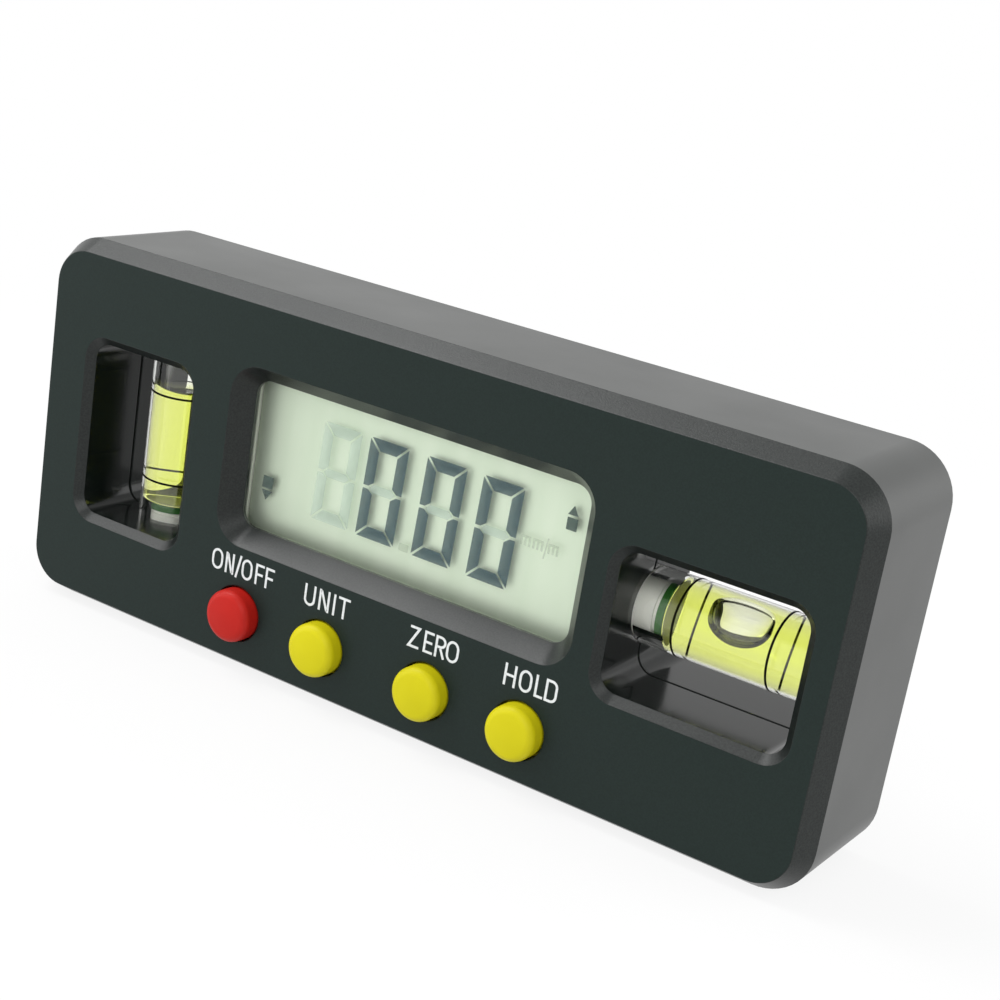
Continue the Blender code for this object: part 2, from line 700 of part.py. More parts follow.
def circuit_board(laminate, epoxy, ceramic):
    middle = (BOARD_TOP + BOARD_LOW) / 2
    board = as_object(
        "circuit_board",
        [
            prism(
                0, middle, BOARD_LENGTH, BOARD_TOP - BOARD_LOW, POST_MARGIN, BOARD_Y, (0, BOARD_THICKNESS)
            ),
        ],
        laminate,
    )
    holes = [
        rod((x, BOARD_Y - OVERRUN, z), (x, BOARD_BACK + OVERRUN, z), BOARD_SCREW_RADIUS + GAP, POST_STEPS)
        for x, z in board_posts()
    ]
    change(board, "holes", "DIFFERENCE", *holes)
    chip_z = BUTTON_Z + CHIP_RISE
    y = BOARD_BACK + GAP
    as_object(
        "controller_chip",
        [
            prism(
                0,
                chip_z,
                CHIP_SIDE,
                CHIP_SIDE,
                CHIP_SIDE / 4,
                y,
                (0, CHIP_HEIGHT / 2),
                (CHIP_EDGE, CHIP_HEIGHT / 2),
            ),
        ],
        epoxy,
    )
    as_object(
        "tilt_sensor",
        [prism(SENSOR_X, chip_z, SENSOR_SIDE, SENSOR_SIDE, 0, y, (0, SENSOR_HEIGHT))],
        ceramic,
    )


def buttons(red, yellow, black, switch_metal):
    """Domed caps on a flange, each over a square tactile switch with a round plunger."""
    steps = 4
    flat = BUTTON_RADIUS - BUTTON_EDGE
    rim = BUTTON_PROUD - BUTTON_DOME - BUTTON_EDGE
    for name, x in BUTTONS.items():
        edge = [
            (flat + BUTTON_EDGE * math.sin(turn), rim + BUTTON_EDGE * math.cos(turn))
            for turn in (math.radians(90) * step / steps for step in range(steps + 1))
        ]
        crown = [
            (flat * step / steps, BUTTON_PROUD - BUTTON_DOME * (step / steps) ** 2) for step in range(
                steps
            )
        ]
        profile = (
            crown
            + edge
            + [
                (BUTTON_RADIUS, -FLANGE_Y),
                (BUTTON_RADIUS + FLANGE_LAP, -FLANGE_Y),
                (BUTTON_RADIUS + FLANGE_LAP, -FLANGE_Y - FLANGE_THICKNESS),
                (STEM_RADIUS, -FLANGE_Y - FLANGE_THICKNESS),
                (STEM_RADIUS, -STEM_END),
                (0, -STEM_END),
            ]
        )
        to_face = (math.radians(90), 0, 0)
        colour = red if name == "on_off" else yellow
        turned(f"{name}_button", profile, BUTTON_STEPS, colour, (x, 0, BUTTON_Z), to_face)

        body_y = BOARD_Y - GAP - SWITCH_HEIGHT
        body = prism(x, BUTTON_Z, SWITCH_SIDE, SWITCH_SIDE, SWITCH_EDGE, body_y, (0, SWITCH_HEIGHT))
        switch = as_object(f"{name}_switch", [body], switch_metal)
        well = PLUNGER_SUNK + BUTTON_TRAVEL + GAP
        radius = PLUNGER_RADIUS + GAP
        bore = rod((x, body_y - OVERRUN, BUTTON_Z), (x, body_y + well, BUTTON_Z), radius, POST_STEPS)
        change(switch, "bore", "DIFFERENCE", bore)
        plunger = [
            (0, PLUNGER_PROUD),
            (PLUNGER_RADIUS, PLUNGER_PROUD),
            (PLUNGER_RADIUS, -PLUNGER_SUNK),
            (0, -PLUNGER_SUNK),
        ]
        turned(f"{name}_plunger", plunger, POST_STEPS, black, (x, body_y, BUTTON_Z), to_face)


def vial(name, clear, liquid, white):
    """A tube bored out like a barrel from one end, the liquid with its bubble, and the end plug."""
    x = WINDOWS[name][0]
    half = VIAL_LENGTH / 2
    closed = half - VIAL_END_WALL
    open_end = -half
    sealed = open_end + PLUG_LENGTH
    middle = (closed + sealed) / 2
    span = (closed - sealed) / 2

    def bore(z, gap=0.0):
        return VIAL_BORE_RADIUS - gap + VIAL_BARREL * (1 - ((z - middle) / span) ** 2)

    steps = 6
    along = [sealed + (closed - sealed) * step / steps for step in range(steps + 1)]
    tube = [
        (0, half),
        (VIAL_RADIUS - VIAL_EDGE, half),
        (VIAL_RADIUS, half - VIAL_EDGE),
        (VIAL_RADIUS, open_end + VIAL_EDGE),
        (VIAL_RADIUS - VIAL_EDGE, open_end),
        (VIAL_BORE_RADIUS, open_end),
        *[(bore(z), z) for z in along],
        (0, closed),
    ]
    place = (x, VIAL_DEPTH, MID_HEIGHT)
    turn = (0, 0, 0) if name == "vertical" else (0, math.radians(90), 0)
    turned(f"{name}_vial", tube, VIAL_STEPS, clear, place, turn)

    top, low = closed - GAP, sealed + GAP
    inside = [low + (top - low) * step / steps for step in range(steps, -1, -1)]
    filling = [(0, top)] + [(bore(z, GAP), z) for z in inside] + [(0, low)]
    body = turned(f"{name}_liquid", filling, VIAL_STEPS, liquid, place, turn)
    if name == "vertical":
        air = ball(x, VIAL_DEPTH, MID_HEIGHT + top, BUBBLE_LENGTH, BUBBLE_LENGTH, 2 * AIR_DEPTH)
        air_wide = rod(
            (x, VIAL_DEPTH, MID_HEIGHT + top - AIR_DEPTH / 2),
            (x, VIAL_DEPTH, MID_HEIGHT + top + AIR_DEPTH),
            VIAL_BORE_RADIUS + VIAL_BARREL,
            VIAL_STEPS,
        )
        change(body, "air", "DIFFERENCE", air_wide)
        change(body, "meniscus", "DIFFERENCE", air)
    else:
        bubble_z = MID_HEIGHT + VIAL_BORE_RADIUS - BUBBLE_HEIGHT / 2 + BUBBLE_SINK
        bubble_x = x + middle
        bubble = ball(
            bubble_x, VIAL_DEPTH, bubble_z, BUBBLE_LENGTH, BUBBLE_WIDTH, BUBBLE_HEIGHT, steps=20
        )
        change(body, "bubble", "DIFFERENCE", bubble)

    plug = [
        (0, sealed),
        (VIAL_BORE_RADIUS - GAP - VIAL_EDGE, sealed),
        (VIAL_BORE_RADIUS - GAP, sealed - VIAL_EDGE),
        (VIAL_BORE_RADIUS - GAP, open_end + GAP),
        (0, open_end + GAP),
    ]
    turned(f"{name}_plug", plug, VIAL_STEPS, white, place, turn)


def cells_and_contacts(jacket, steel):
    """Two cells laid in opposite directions, a bridge at the right, and the two poles at the left."""
    cell_mid = BAY_LENGTH / 2 - GAP - CONTACT_THICKNESS - GAP - CELL_LENGTH / 2
    quarter = math.radians(90)
    body_end = CELL_LENGTH / 2 - NUB_HEIGHT
    profile = [
        (0, CELL_LENGTH / 2),
        (NUB_RADIUS, CELL_LENGTH / 2),
        (NUB_RADIUS, body_end),
        (CELL_RADIUS - CELL_EDGE, body_end),
        (CELL_RADIUS, body_end - CELL_EDGE),
        (CELL_RADIUS, -CELL_LENGTH / 2 + CELL_EDGE),
        (CELL_RADIUS - CELL_EDGE, -CELL_LENGTH / 2),
        (0, -CELL_LENGTH / 2),
    ]
    plate_y = CELL_Y - CONTACT_WIDTH / 2
    tail_y = BOARD_BACK + GAP
    spring_x = BAY_LENGTH / 2 - 2 * GAP - CONTACT_THICKNESS
    for name, side, pole in (("upper", 1, "negative"), ("lower", -1, "positive")):
        z = BAY_Z + side * PITCH / 2
        turned(
            f"{name}_cell",
            profile,
            HOLE_STEPS,
            jacket,
            (side * cell_mid, CELL_Y, z),
            (0, side * quarter, 0),
        )
        left = -BAY_LENGTH / 2 + GAP
        plate = box(left, plate_y, z - CONTACT_WIDTH / 2, CONTACT_THICKNESS, CONTACT_WIDTH, CONTACT_WIDTH)
        contact = as_object(f"{pole}_contact", [plate], steel)
        tail = box(left, tail_y, z - TAIL_WIDTH / 2, CONTACT_THICKNESS, CELL_Y - tail_y, TAIL_WIDTH)
        change(contact, "tail", "UNION", tail)
        coil_spring(f"{name}_spring", (-side * spring_x, CELL_Y, z), side, steel)
    right = BAY_LENGTH / 2 - GAP - CONTACT_THICKNESS
    height = PITCH + CONTACT_WIDTH
    plate = box(right, plate_y, BAY_Z - height / 2, CONTACT_THICKNESS, CONTACT_WIDTH, height)
    bridge = as_object("bridge_contact", [plate], steel)
    tail = box(right, tail_y, BAY_Z - TAIL_WIDTH / 2, CONTACT_THICKNESS, CELL_Y - tail_y, TAIL_WIDTH)
    change(bridge, "tail", "UNION", tail)


def coil_spring(name, start, side, steel):
    """A conical battery spring from its contact plate towards the cell: one unbroken wire."""
    a_turn = 12
    count = SPRING_TURNS * a_turn
    length = SPRING_LENGTH - 2 * SPRING_WIRE
    curve = bpy.data.curves.new(name, "CURVE")
    curve.dimensions = "3D"
    curve.bevel_depth = SPRING_WIRE
    curve.bevel_resolution = 1
    curve.use_fill_caps = True
    wire = curve.splines.new("POLY")
    wire.points.add(count)
    for step, point in enumerate(wire.points):
        share = step / count
        angle = 2 * math.pi * step / a_turn
        radius = SPRING_WIDE + (SPRING_NARROW - SPRING_WIDE) * share
        point.co = (
            side * (SPRING_WIRE + length * share), radius * math.cos(angle), radius * math.sin(angle), 1
        )
    obj = bpy.data.objects.new(name, curve)
    obj.location = start
    obj.parent = FRAME
    curve.materials.append(steel)
    CASE.objects.link(obj)


def screws(steel):
    """Round-headed self-tapping screws, heads towards the back."""
    to_back = (-math.radians(90), 0, 0)
    point = SCREW_RADIUS / 2
    for name, places, head_y, radius, height, shank, length in (
        ("case_screw", corners_of_case(), HEAD_Y, HEAD_RADIUS, HEAD_HEIGHT, SCREW_RADIUS, SCREW_LENGTH),
        (
            "board_screw",
            board_posts(),
            BOARD_BACK + GAP,
            BOARD_HEAD_RADIUS,
            BOARD_HEAD_HEIGHT,
            BOARD_SCREW_RADIUS,
            BOARD_SCREW_LENGTH,
        ),
    ):
        profile = [
            (0, height),
            (radius / 2, height),
            (radius, height / 2),
            (radius, 0),
            (shank, 0),
            (shank, -length + shank),
            (point / 2, -length),
            (0, -length),
        ]
        for number, (x, z) in enumerate(places, 1):
            turned(f"{name}_{number}", profile, POST_STEPS, steel, (x, head_y, z), to_back)


def magnets(nickel):
    for name, side in (("left", -1), ("right", 1)):
        y = VIAL_DEPTH - MAGNET_DEPTH / 2
        bar = box(
            side * WINDOW_X - MAGNET_LENGTH / 2,
            y,
            SIDE_WALL + GAP,
            MAGNET_LENGTH,
            MAGNET_DEPTH,
            MAGNET_HEIGHT,
        )
        as_object(f"{name}_magnet", [bar], nickel)


FRAME = clear_scene()
BLACK_PLASTIC = finish("black moulded plastic", (0.03, 0.034, 0.033), 0.45)
RED_PLASTIC = finish("red button plastic", (0.58, 0.03, 0.02), 0.35)
YELLOW_PLASTIC = finish("yellow button plastic", (0.72, 0.66, 0.02), 0.35)
WHITE_PLASTIC = finish("white plug plastic", (0.8, 0.8, 0.76), 0.4)
CLEAR_ACRYLIC = finish("clear acrylic", (0.95, 0.97, 0.95), 0.03, clear=1.0)
DISPLAY_GLASS = finish("display glass", (0.58, 0.66, 0.52), 0.2)
LIQUID = finish("vial liquid", (0.78, 0.9, 0.2), 0.05, clear=0.8)
RUBBER = finish("connector rubber", (0.6, 0.58, 0.55), 0.7)
LAMINATE = finish("green board laminate", (0.02, 0.16, 0.06), 0.5)
EPOXY = finish("black epoxy", (0.02, 0.02, 0.02), 0.35)
CERAMIC = finish("sensor package", (0.08, 0.08, 0.09), 0.4)
JACKET = finish("cell jacket", (0.2, 0.22, 0.25), 0.3, metallic=0.6)
SPRING_STEEL = finish("nickel-plated spring steel", (0.66, 0.66, 0.63), 0.25, metallic=1.0)
SCREW_STEEL = finish("zinc-plated screw steel", (0.55, 0.55, 0.55), 0.35, metallic=1.0)
MAGNET_NICKEL = finish("nickel-plated magnet", (0.7, 0.69, 0.66), 0.2, metallic=1.0)

front_shell(BLACK_PLASTIC)
back_cover(BLACK_PLASTIC)
battery_cover(BLACK_PLASTIC)
display(CLEAR_ACRYLIC, DISPLAY_GLASS, WHITE_PLASTIC, RUBBER)
circuit_board(LAMINATE, EPOXY, CERAMIC)
buttons(RED_PLASTIC, YELLOW_PLASTIC, EPOXY, SPRING_STEEL)
for vial_name in WINDOWS:
    vial(vial_name, CLEAR_ACRYLIC, LIQUID, WHITE_PLASTIC)
cells_and_contacts(JACKET, SPRING_STEEL)
screws(SCREW_STEEL)
magnets(MAGNET_NICKEL)
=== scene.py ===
"""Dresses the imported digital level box: its case, display, buttons and vials, and a plain studio round it."""

import math

import bmesh
import bpy
from mathutils import Matrix, Vector
from mathutils.geometry import delaunay_2d_cdt


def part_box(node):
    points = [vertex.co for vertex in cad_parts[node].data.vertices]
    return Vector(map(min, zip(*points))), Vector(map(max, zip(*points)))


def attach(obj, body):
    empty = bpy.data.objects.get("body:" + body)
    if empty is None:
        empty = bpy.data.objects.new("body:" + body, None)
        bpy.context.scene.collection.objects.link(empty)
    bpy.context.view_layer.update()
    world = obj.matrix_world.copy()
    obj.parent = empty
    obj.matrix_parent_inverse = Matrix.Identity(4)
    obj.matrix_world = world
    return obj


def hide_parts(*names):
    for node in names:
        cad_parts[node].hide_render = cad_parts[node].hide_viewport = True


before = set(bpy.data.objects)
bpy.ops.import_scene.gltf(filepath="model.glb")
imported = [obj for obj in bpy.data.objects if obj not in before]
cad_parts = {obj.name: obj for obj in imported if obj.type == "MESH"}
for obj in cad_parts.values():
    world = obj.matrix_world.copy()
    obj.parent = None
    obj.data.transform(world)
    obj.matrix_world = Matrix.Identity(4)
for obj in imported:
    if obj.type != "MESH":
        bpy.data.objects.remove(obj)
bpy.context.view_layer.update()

# Camera: a long lens from the right and above, rolled so that the box runs down to the right. Its place is
# counted from the middle of the face, and it is shifted up and right as a crop of a larger picture is.
MM = 0.001
IMAGE_PIXELS = 1000
FOCAL_PIXELS = 1927.27
CAMERA_SHIFT = 0.05
CAMERA_PLACE = (153.62, -230.38, 93.14)
CAMERA_AZIMUTH = 31.753
CAMERA_ELEVATION = 18.613
CAMERA_ROLL = 9.012
shell_low, shell_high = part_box("front_shell")
FACE = shell_low.y
MIDDLE = (shell_low.z + shell_high.z) / 2

lens = bpy.data.cameras.new("camera")
lens.lens = lens.sensor_width * FOCAL_PIXELS / IMAGE_PIXELS
lens.shift_x = lens.shift_y = CAMERA_SHIFT
lens.clip_start = 10 * MM
camera = bpy.data.objects.new("camera", lens)
azimuth, elevation = math.radians(CAMERA_AZIMUTH), math.radians(CAMERA_ELEVATION)
towards = Vector(
    (-math.sin(azimuth) * math.cos(elevation), math.cos(azimuth) * math.cos(elevation), -math.sin(elevation))
)
aim = towards.to_track_quat("-Z", "Y").to_matrix() @ Matrix.Rotation(math.radians(CAMERA_ROLL), 3, "Z")
camera.matrix_world = Matrix.Translation(Vector(CAMERA_PLACE) * MM + Vector((0, FACE, MIDDLE))) @ aim.to_4x4()
bpy.context.scene.collection.objects.link(camera)
bpy.context.scene.camera = camera

# Front shell: the face and four sides, moulded in one piece of black ABS from a spark-eroded tool. The two
# windows and the display recess slope in through small radii, and each window goes on as a tunnel. Every wall
# follows a profile of (inset, depth) points, which starts on the flat so that its first corner is rounded.
WALL = 2.2
FLOOR = 2.4
PARTING = 12.5
HALF_GAP = 0.24
EDGE_SLOPE = (2.0, 3.5)
EDGE_RADIUS = 0.2
WINDOW_SLOPE = 1.3
WINDOW_RADIUS = 0.12
TUNNEL_WALL = 1.6
RECESS_SLOPE = (2.6, 3.4)
RECESS_RADIUS = 0.15
RECESS_FLOOR = 4.0
DISPLAY_SEAT = 5.8
SEAT_STEP = 0.9
DEPTH = (shell_high.y - shell_low.y) / MM
CASE = (0, 0, 150.0, 62.5, 8.1)
UPRIGHT_WINDOW = (-53.3, 0, 21.5, 29.5, 3.0)
LEVEL_WINDOW = (53.3, 0, 29.5, 21.5, 3.0)
RECESS = (0, 4.65, 67.6, 29.7, 5.4)
BUTTON_PLACES = {"on_off": -27.4, "unit": -10.2, "zero": 10.2, "hold": 27.4}
BUTTON_Z = -21.4
BUTTON_HOLE = 4.65
CASE_SCREWS = [(x, z) for x in (-66.9, 66.9) for z in (-23.15, 23.15)]
CORNER_STEPS = 12
SOFT_STEPS = 4
LEAST_RADIUS = 0.05
SLOPES = (0.15, 0.97)


def colour(code):
    """An sRGB hex value as linear light."""
    parts = [int(code[start : start + 2], 16) / 255 for start in (1, 3, 5)]
    return (*[part / 12.92 if part <= 0.04045 else ((part + 0.055) / 1.055) ** 2.4 for part in parts], 1.0)


def add(material, kind, sockets=(), **settings):
    """Adds a node with its settings, and gives its sockets values or other nodes' outputs."""
    node = material.node_tree.nodes.new("ShaderNode" + kind)
    for name, value in settings.items():
        setattr(node, name, value)
    for name, value in dict(sockets).items():
        if isinstance(value, bpy.types.NodeSocket):
            material.node_tree.links.new(value, node.inputs[name])
        else:
            node.inputs[name].default_value = value
    return node


def new_material(name):
    """An empty node material, and the coordinates that its patterns read."""
    material = bpy.data.materials.new(name)
    material.use_nodes = True
    material.node_tree.nodes.clear()
    return material, add(material, "TexCoord").outputs["Object"]


def two_tones(material, pattern, first, second, span=(0.3, 0.7)):
    """A colour that goes from the first to the second over a span of a pattern's values."""
    ramp = add(material, "ValToRGB", {"Fac": pattern})
    start, end = ramp.color_ramp.elements
    start.position, end.position = span
    start.color, end.color = first, second
    return ramp.outputs["Color"]


def surface(material, shader):
    """Sets what the material shows, and gives the material back."""
    output = add(material, "OutputMaterial")
    material.node_tree.links.new(shader, output.inputs["Surface"])
    return material


def ring(outline, inset, depth):
    """Points round a rounded rectangle that is drawn in by inset, at a depth behind the face, in metres."""
    x, z, length, height, radius = outline
    corner = max(radius - inset, LEAST_RADIUS)
    reach = (length / 2 - inset - corner, height / 2 - inset - corner)
    points = []
    for quarter, (side, up) in enumerate(((1, 1), (-1, 1), (-1, -1), (1, -1))):
        for step in range(CORNER_STEPS + 1):
            angle = math.radians(90 * (quarter + step / CORNER_STEPS))
            across = x + side * reach[0] + corner * math.cos(angle)
            along = z + up * reach[1] + corner * math.sin(angle)
            points.append((across * MM, FACE + depth * MM, MIDDLE + along * MM))
    return points


def circle(x, z, radius):
    return (x, z, 2 * radius, 2 * radius, radius)


def soften(profile, radius):
    """Rounds each inner corner of a profile of (inset, depth) points."""
    softened = [profile[0]]
    for before, here, after in zip(profile, profile[1:], profile[2:]):
        corner = Vector(here)
        back, ahead = Vector(before) - corner, Vector(after) - corner
        turn = math.pi - back.angle(ahead)
        if turn < math.radians(5):
            softened.append(here)
            continue
        reach = min(radius * math.tan(turn / 2), back.length * 0.45, ahead.length * 0.45)
        start, end = corner + back.normalized() * reach, corner + ahead.normalized() * reach
        for step in range(SOFT_STEPS + 1):
            share = step / SOFT_STEPS
            point = start * (1 - share) ** 2 + corner * 2 * share * (1 - share) + end * share**2
            softened.append(tuple(point))
    return softened + [profile[-1]]


def loft(shape, outline, profile):
    """Walls through the rings of a profile. It gives back the first and the last ring's corners."""
    rings = [[shape.verts.new(point) for point in ring(outline, *place)] for place in profile]
    for near, far in zip(rings, rings[1:]):
        for index in range(len(near)):
            shape.faces.new((near[index - 1], near[index], far[index], far[index - 1]))
    return rings[0], rings[-1]


def inside(loop, place):
    """Whether a flat point lies in a hole. The holes are convex, so it has each edge on the same side."""
    turns = []
    for index, corner in enumerate(loop):
        start, end = Vector(loop[index - 1].co.xz), Vector(corner.co.xz)
        if (end - start).length > 1e-7:
            turns.append((end - start).cross(place - start) > 0)
    return all(turns) or not any(turns)


def fill(shape, rim, *holes):
    """A flat wall bounded by a rim, open where its holes are."""
    corners, outline = [], []
    for loop in (rim, *holes):
        outline += [(len(corners) + i, len(corners) + (i + 1) % len(loop)) for i in range(len(loop))]
        corners += loop
    flat = [Vector(corner.co.xz) / MM for corner in corners]
    places, _, triangles, sources, *_ = delaunay_2d_cdt(flat, outline, [], 1, 1e-6)
    for triangle in triangles:
        middle = sum((places[i] for i in triangle), Vector((0, 0))) / len(triangle) * MM
        if not any(inside(hole, middle) for hole in holes):
            shape.faces.new([corners[sources[i][0]] for i in triangle])


def piece(name, shape, materials, body, slot, *nodes, sharp=40, finish=None, hollow=()):
    """One finished piece in place of CAD nodes, smooth but for its sharp edges.

    finish gives the number of a face's material, and the faces in hollow are turned to look inwards.
    """
    bmesh.ops.recalc_face_normals(shape, faces=shape.faces)
    bmesh.ops.reverse_faces(shape, faces=list(hollow))
    bmesh.ops.remove_doubles(shape, verts=shape.verts, dist=1e-8)
    for face in shape.faces:
        face.material_index = finish(face) if finish else 0
    mesh = bpy.data.meshes.new(name)
    shape.to_mesh(mesh)
    shape.free()
    for material in materials if isinstance(materials, tuple) else (materials,):
        mesh.materials.append(material)
    mesh.shade_smooth()
    mesh.set_sharp_from_angle(angle=math.radians(sharp))
    made = bpy.data.objects.new(name, mesh)
    bpy.context.scene.collection.objects.link(made)
    weighted = made.modifiers.new("flat faces keep flat", "WEIGHTED_NORMAL")
    weighted.keep_sharp = True
    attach(made, body)
    if nodes:
        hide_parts(*nodes)
    return made


def black_abs(finish, code, light, specular, roughness, grain_width, depth):
    # Moulded black ABS: near black and slightly green. The tool's finish stays on it as grains of a width in
    # mm, whose tips are painted lighter, as painted glints, and the gloss varies faintly where the melt flowed.
    material, place = new_material("moulded black ABS, " + finish)
    grain = add(material, "TexNoise", {"Vector": place, "Scale": 1 / (grain_width * MM), "Detail": 2.0})
    tone = two_tones(material, grain.outputs["Fac"], colour(code), colour(light), (0.35, 0.65))
    flow = add(material, "TexNoise", {"Vector": place, "Scale": 45.0, "Detail": 3.0})
    gloss = add(
        material,
        "MapRange",
        {
            "Value": flow.outputs["Fac"],
            "From Min": 0.3,
            "From Max": 0.7,
            "To Min": roughness * 0.92,
            "To Max": roughness * 1.08,
        },
    )
    relief = add(
        material, "Bump", {"Height": grain.outputs["Fac"], "Strength": depth, "Distance": 0.05 * MM}
    )
    shader = add(
        material,
        "BsdfPrincipled",
        {
            "Base Color": tone,
            "Roughness": gloss.outputs["Result"],
            "IOR": 1.5,
            "Specular IOR Level": specular,
            "Normal": relief.outputs["Normal"],
        },
    )
    return surface(material, shader.outputs["BSDF"])


def tool_finish(face):
    """Coarse and painted darker, as painted shade, on slopes; polished in the windows, matt on the face and
    silky elsewhere.
    """
    upright, level = SLOPES
    middle = face.calc_center_median() / MM
    slope = abs(face.normal.y)
    across, along = middle.x, middle.z - MIDDLE / MM
    if upright < slope < level:
        return 1
    for x, z, length, height, _ in (UPRIGHT_WINDOW, LEVEL_WINDOW):
        within = abs(across - x) <= length / 2 + 0.01 and abs(along - z) <= height / 2 + 0.01
        if slope <= upright and within:
            return 2
    return 0 if slope >= level and middle.y < FACE / MM + 0.3 else 3


# The slopes' base is painted darker than the face's, as painted shade, and their grain tips lighter, as painted
# glints.
ABS_FINISHES = (
    black_abs("matt face", "#17221f", "#1a2623", 0.18, 0.42, 0.25, 0.1),
    black_abs("coarse slopes, painted shade", "#0d1211", "#1c211f", 0.34, 0.32, 0.28, 0.4),
    black_abs("polished windows", "#0d1210", "#101613", 0.24, 0.16, 0.6, 0.02),
    black_abs("silky sides", "#1b1f1c", "#1f2320", 0.7, 0.36, 0.2, 0.1),
)
BLACK_ABS = ABS_FINISHES[3]
shape = bmesh.new()
outer_rim, inner_floor = loft(
    shape,
    CASE,
    [
        *soften(
            [(EDGE_SLOPE[0] + 0.9, 0), (EDGE_SLOPE[0], 0), (0, EDGE_SLOPE[1]), (0, DEPTH), (WALL, DEPTH)],
            EDGE_RADIUS,
        ),
        (WALL, FLOOR),
    ],
)
face_holes, floor_holes = [], []
end = PARTING - HALF_GAP
tunnel = soften(
    [(-2.0, 0), (-WINDOW_SLOPE, 0), (0, WINDOW_SLOPE), (0, end), (-TUNNEL_WALL, end)], WINDOW_RADIUS
)
for window in (UPRIGHT_WINDOW, LEVEL_WINDOW):
    face_hole, floor_hole = loft(shape, window, [*tunnel, (-TUNNEL_WALL, FLOOR)])
    face_holes.append(face_hole)
    floor_holes.append(floor_hole)
recess = soften([(-0.6, 0), (0, 0), RECESS_SLOPE, (RECESS_SLOPE[0], RECESS_FLOOR)], RECESS_RADIUS)
recess += [(SEAT_STEP, RECESS_FLOOR), (SEAT_STEP, DISPLAY_SEAT)]
recess += [(-SEAT_STEP, DISPLAY_SEAT), (-SEAT_STEP, FLOOR)]
face_hole, floor_hole = loft(shape, RECESS, recess)
face_holes.append(face_hole)
floor_holes.append(floor_hole)
for x in BUTTON_PLACES.values():
    profile = soften([(-0.4, 0), (0, 0), (0, FLOOR)], RECESS_RADIUS)
    face_hole, floor_hole = loft(shape, circle(x, BUTTON_Z, BUTTON_HOLE), profile)
    face_holes.append(face_hole)
    floor_holes.append(floor_hole)
fill(shape, outer_rim, *face_holes)
fill(shape, inner_floor, *floor_holes)
piece("case_front", shape, ABS_FINISHES, "case", "case_plastic", "front_shell", finish=tool_finish)

# Back cover: a plate of the same ABS let into the open back and held by four screws. It carries the rear half
# of each window, cups for the screw heads, and the bay for the cells behind its door.
COVER_GAP = 2.5
PLATE_FRONT = 24.0
BAY_FLOOR = 13.1
BAY_FRONT = 11.9
LEDGE_FRONT = 22.6
DOOR = (0, 4.0, 56.3, 26.1, 0.6)
DOOR_LEDGE = 2.1
LEDGE_WALL = 2.0
BAY_SKIN = 0.5
HEAD_HOLE = 2.9
HEAD_SEAT = 23.6
SHANK_STEP = 1.35
BOSS_WALL = 1.3
BOSS_FRONT = 20.6

shape = bmesh.new()
plate = soften([(COVER_GAP + 0.5, DEPTH), (COVER_GAP, DEPTH), (COVER_GAP, PLATE_FRONT)], EDGE_RADIUS)
back_rim, front_rim = loft(shape, CASE, plate)
back_holes, front_holes = [], []
rear = PARTING + HALF_GAP
tunnel = soften(
    [(-2.0, DEPTH), (-WINDOW_SLOPE, DEPTH), (0, DEPTH - WINDOW_SLOPE), (0, rear), (-TUNNEL_WALL, rear)],
    WINDOW_RADIUS,
)
for window in (UPRIGHT_WINDOW, LEVEL_WINDOW):
    back_hole, front_hole = loft(shape, window, [*tunnel, (-TUNNEL_WALL, PLATE_FRONT)])
    back_holes.append(back_hole)
    front_holes.append(front_hole)
for x, z in CASE_SCREWS:
    cup = soften([(-0.4, DEPTH), (0, DEPTH), (0, HEAD_SEAT)], RECESS_RADIUS)
    cup += [(SHANK_STEP, HEAD_SEAT), (SHANK_STEP, BOSS_FRONT)]
    cup += [(-BOSS_WALL, BOSS_FRONT), (-BOSS_WALL, PLATE_FRONT)]
    back_hole, front_hole = loft(shape, circle(x, z, HEAD_HOLE), cup)
    back_holes.append(back_hole)
    front_holes.append(front_hole)
bay = soften([(-0.4, DEPTH), (0, DEPTH), (0, PLATE_FRONT)], RECESS_RADIUS)
back_hole, bay_floor = loft(shape, DOOR, [*bay, (DOOR_LEDGE, PLATE_FRONT), (DOOR_LEDGE, BAY_FLOOR)])
back_holes.append(back_hole)
fill(shape, bay_floor)
ledge = [(-LEDGE_WALL, PLATE_FRONT), (-LEDGE_WALL, LEDGE_FRONT)]
front_hole, bay_front = loft(shape, DOOR, [*ledge, (BAY_SKIN, LEDGE_FRONT), (BAY_SKIN, BAY_FRONT)])
front_holes.append(front_hole)
fill(shape, bay_front)
fill(shape, back_rim, *back_holes)
fill(shape, front_rim, *front_holes)
piece("case_back", shape, ABS_FINISHES, "case", "case_plastic", "back_cover", finish=tool_finish)

# Display: a reflective liquid crystal cell under a clear cover. Its segments lie in the front ply and throw a
# soft shadow on the reflector a millimetre behind them.
WINDOW_FRONT = 4.3
WINDOW_BACK = 5.2
SEGMENT_DEPTH = 5.7
FILM = 0.05
REFLECTOR = 6.6
GLASS_BACK = 7.8
GLASS = (0, 4.65, 64.7, 26.8, 0.5)
COVER_GLASS = (0, 4.65, 65.2, 27.3, 0.5)
DIGIT_WIDTH = 7.35
DIGIT_HEIGHT = 16.2
DIGIT_FOOT = -3.35
DIGIT_STARTS = (-10.35, 0.5, 10.85)
GHOST_START = -19.35
DIGIT_SLANT = 0.035
SEGMENT = 1.9
SEGMENT_GAP = 0.26


def prism(shape, outline, front, back):
    """A closed slab of any flat outline of (x, z) points between two depths."""
    rings = []
    for depth in (front, back):
        rings.append([shape.verts.new((x * MM, FACE + depth * MM, MIDDLE + z * MM)) for x, z in outline])
    for index in range(len(outline)):
        near, far = rings
        shape.faces.new((near[index - 1], near[index], far[index], far[index - 1]))
    shape.faces.new(rings[0])
    shape.faces.new(rings[1])


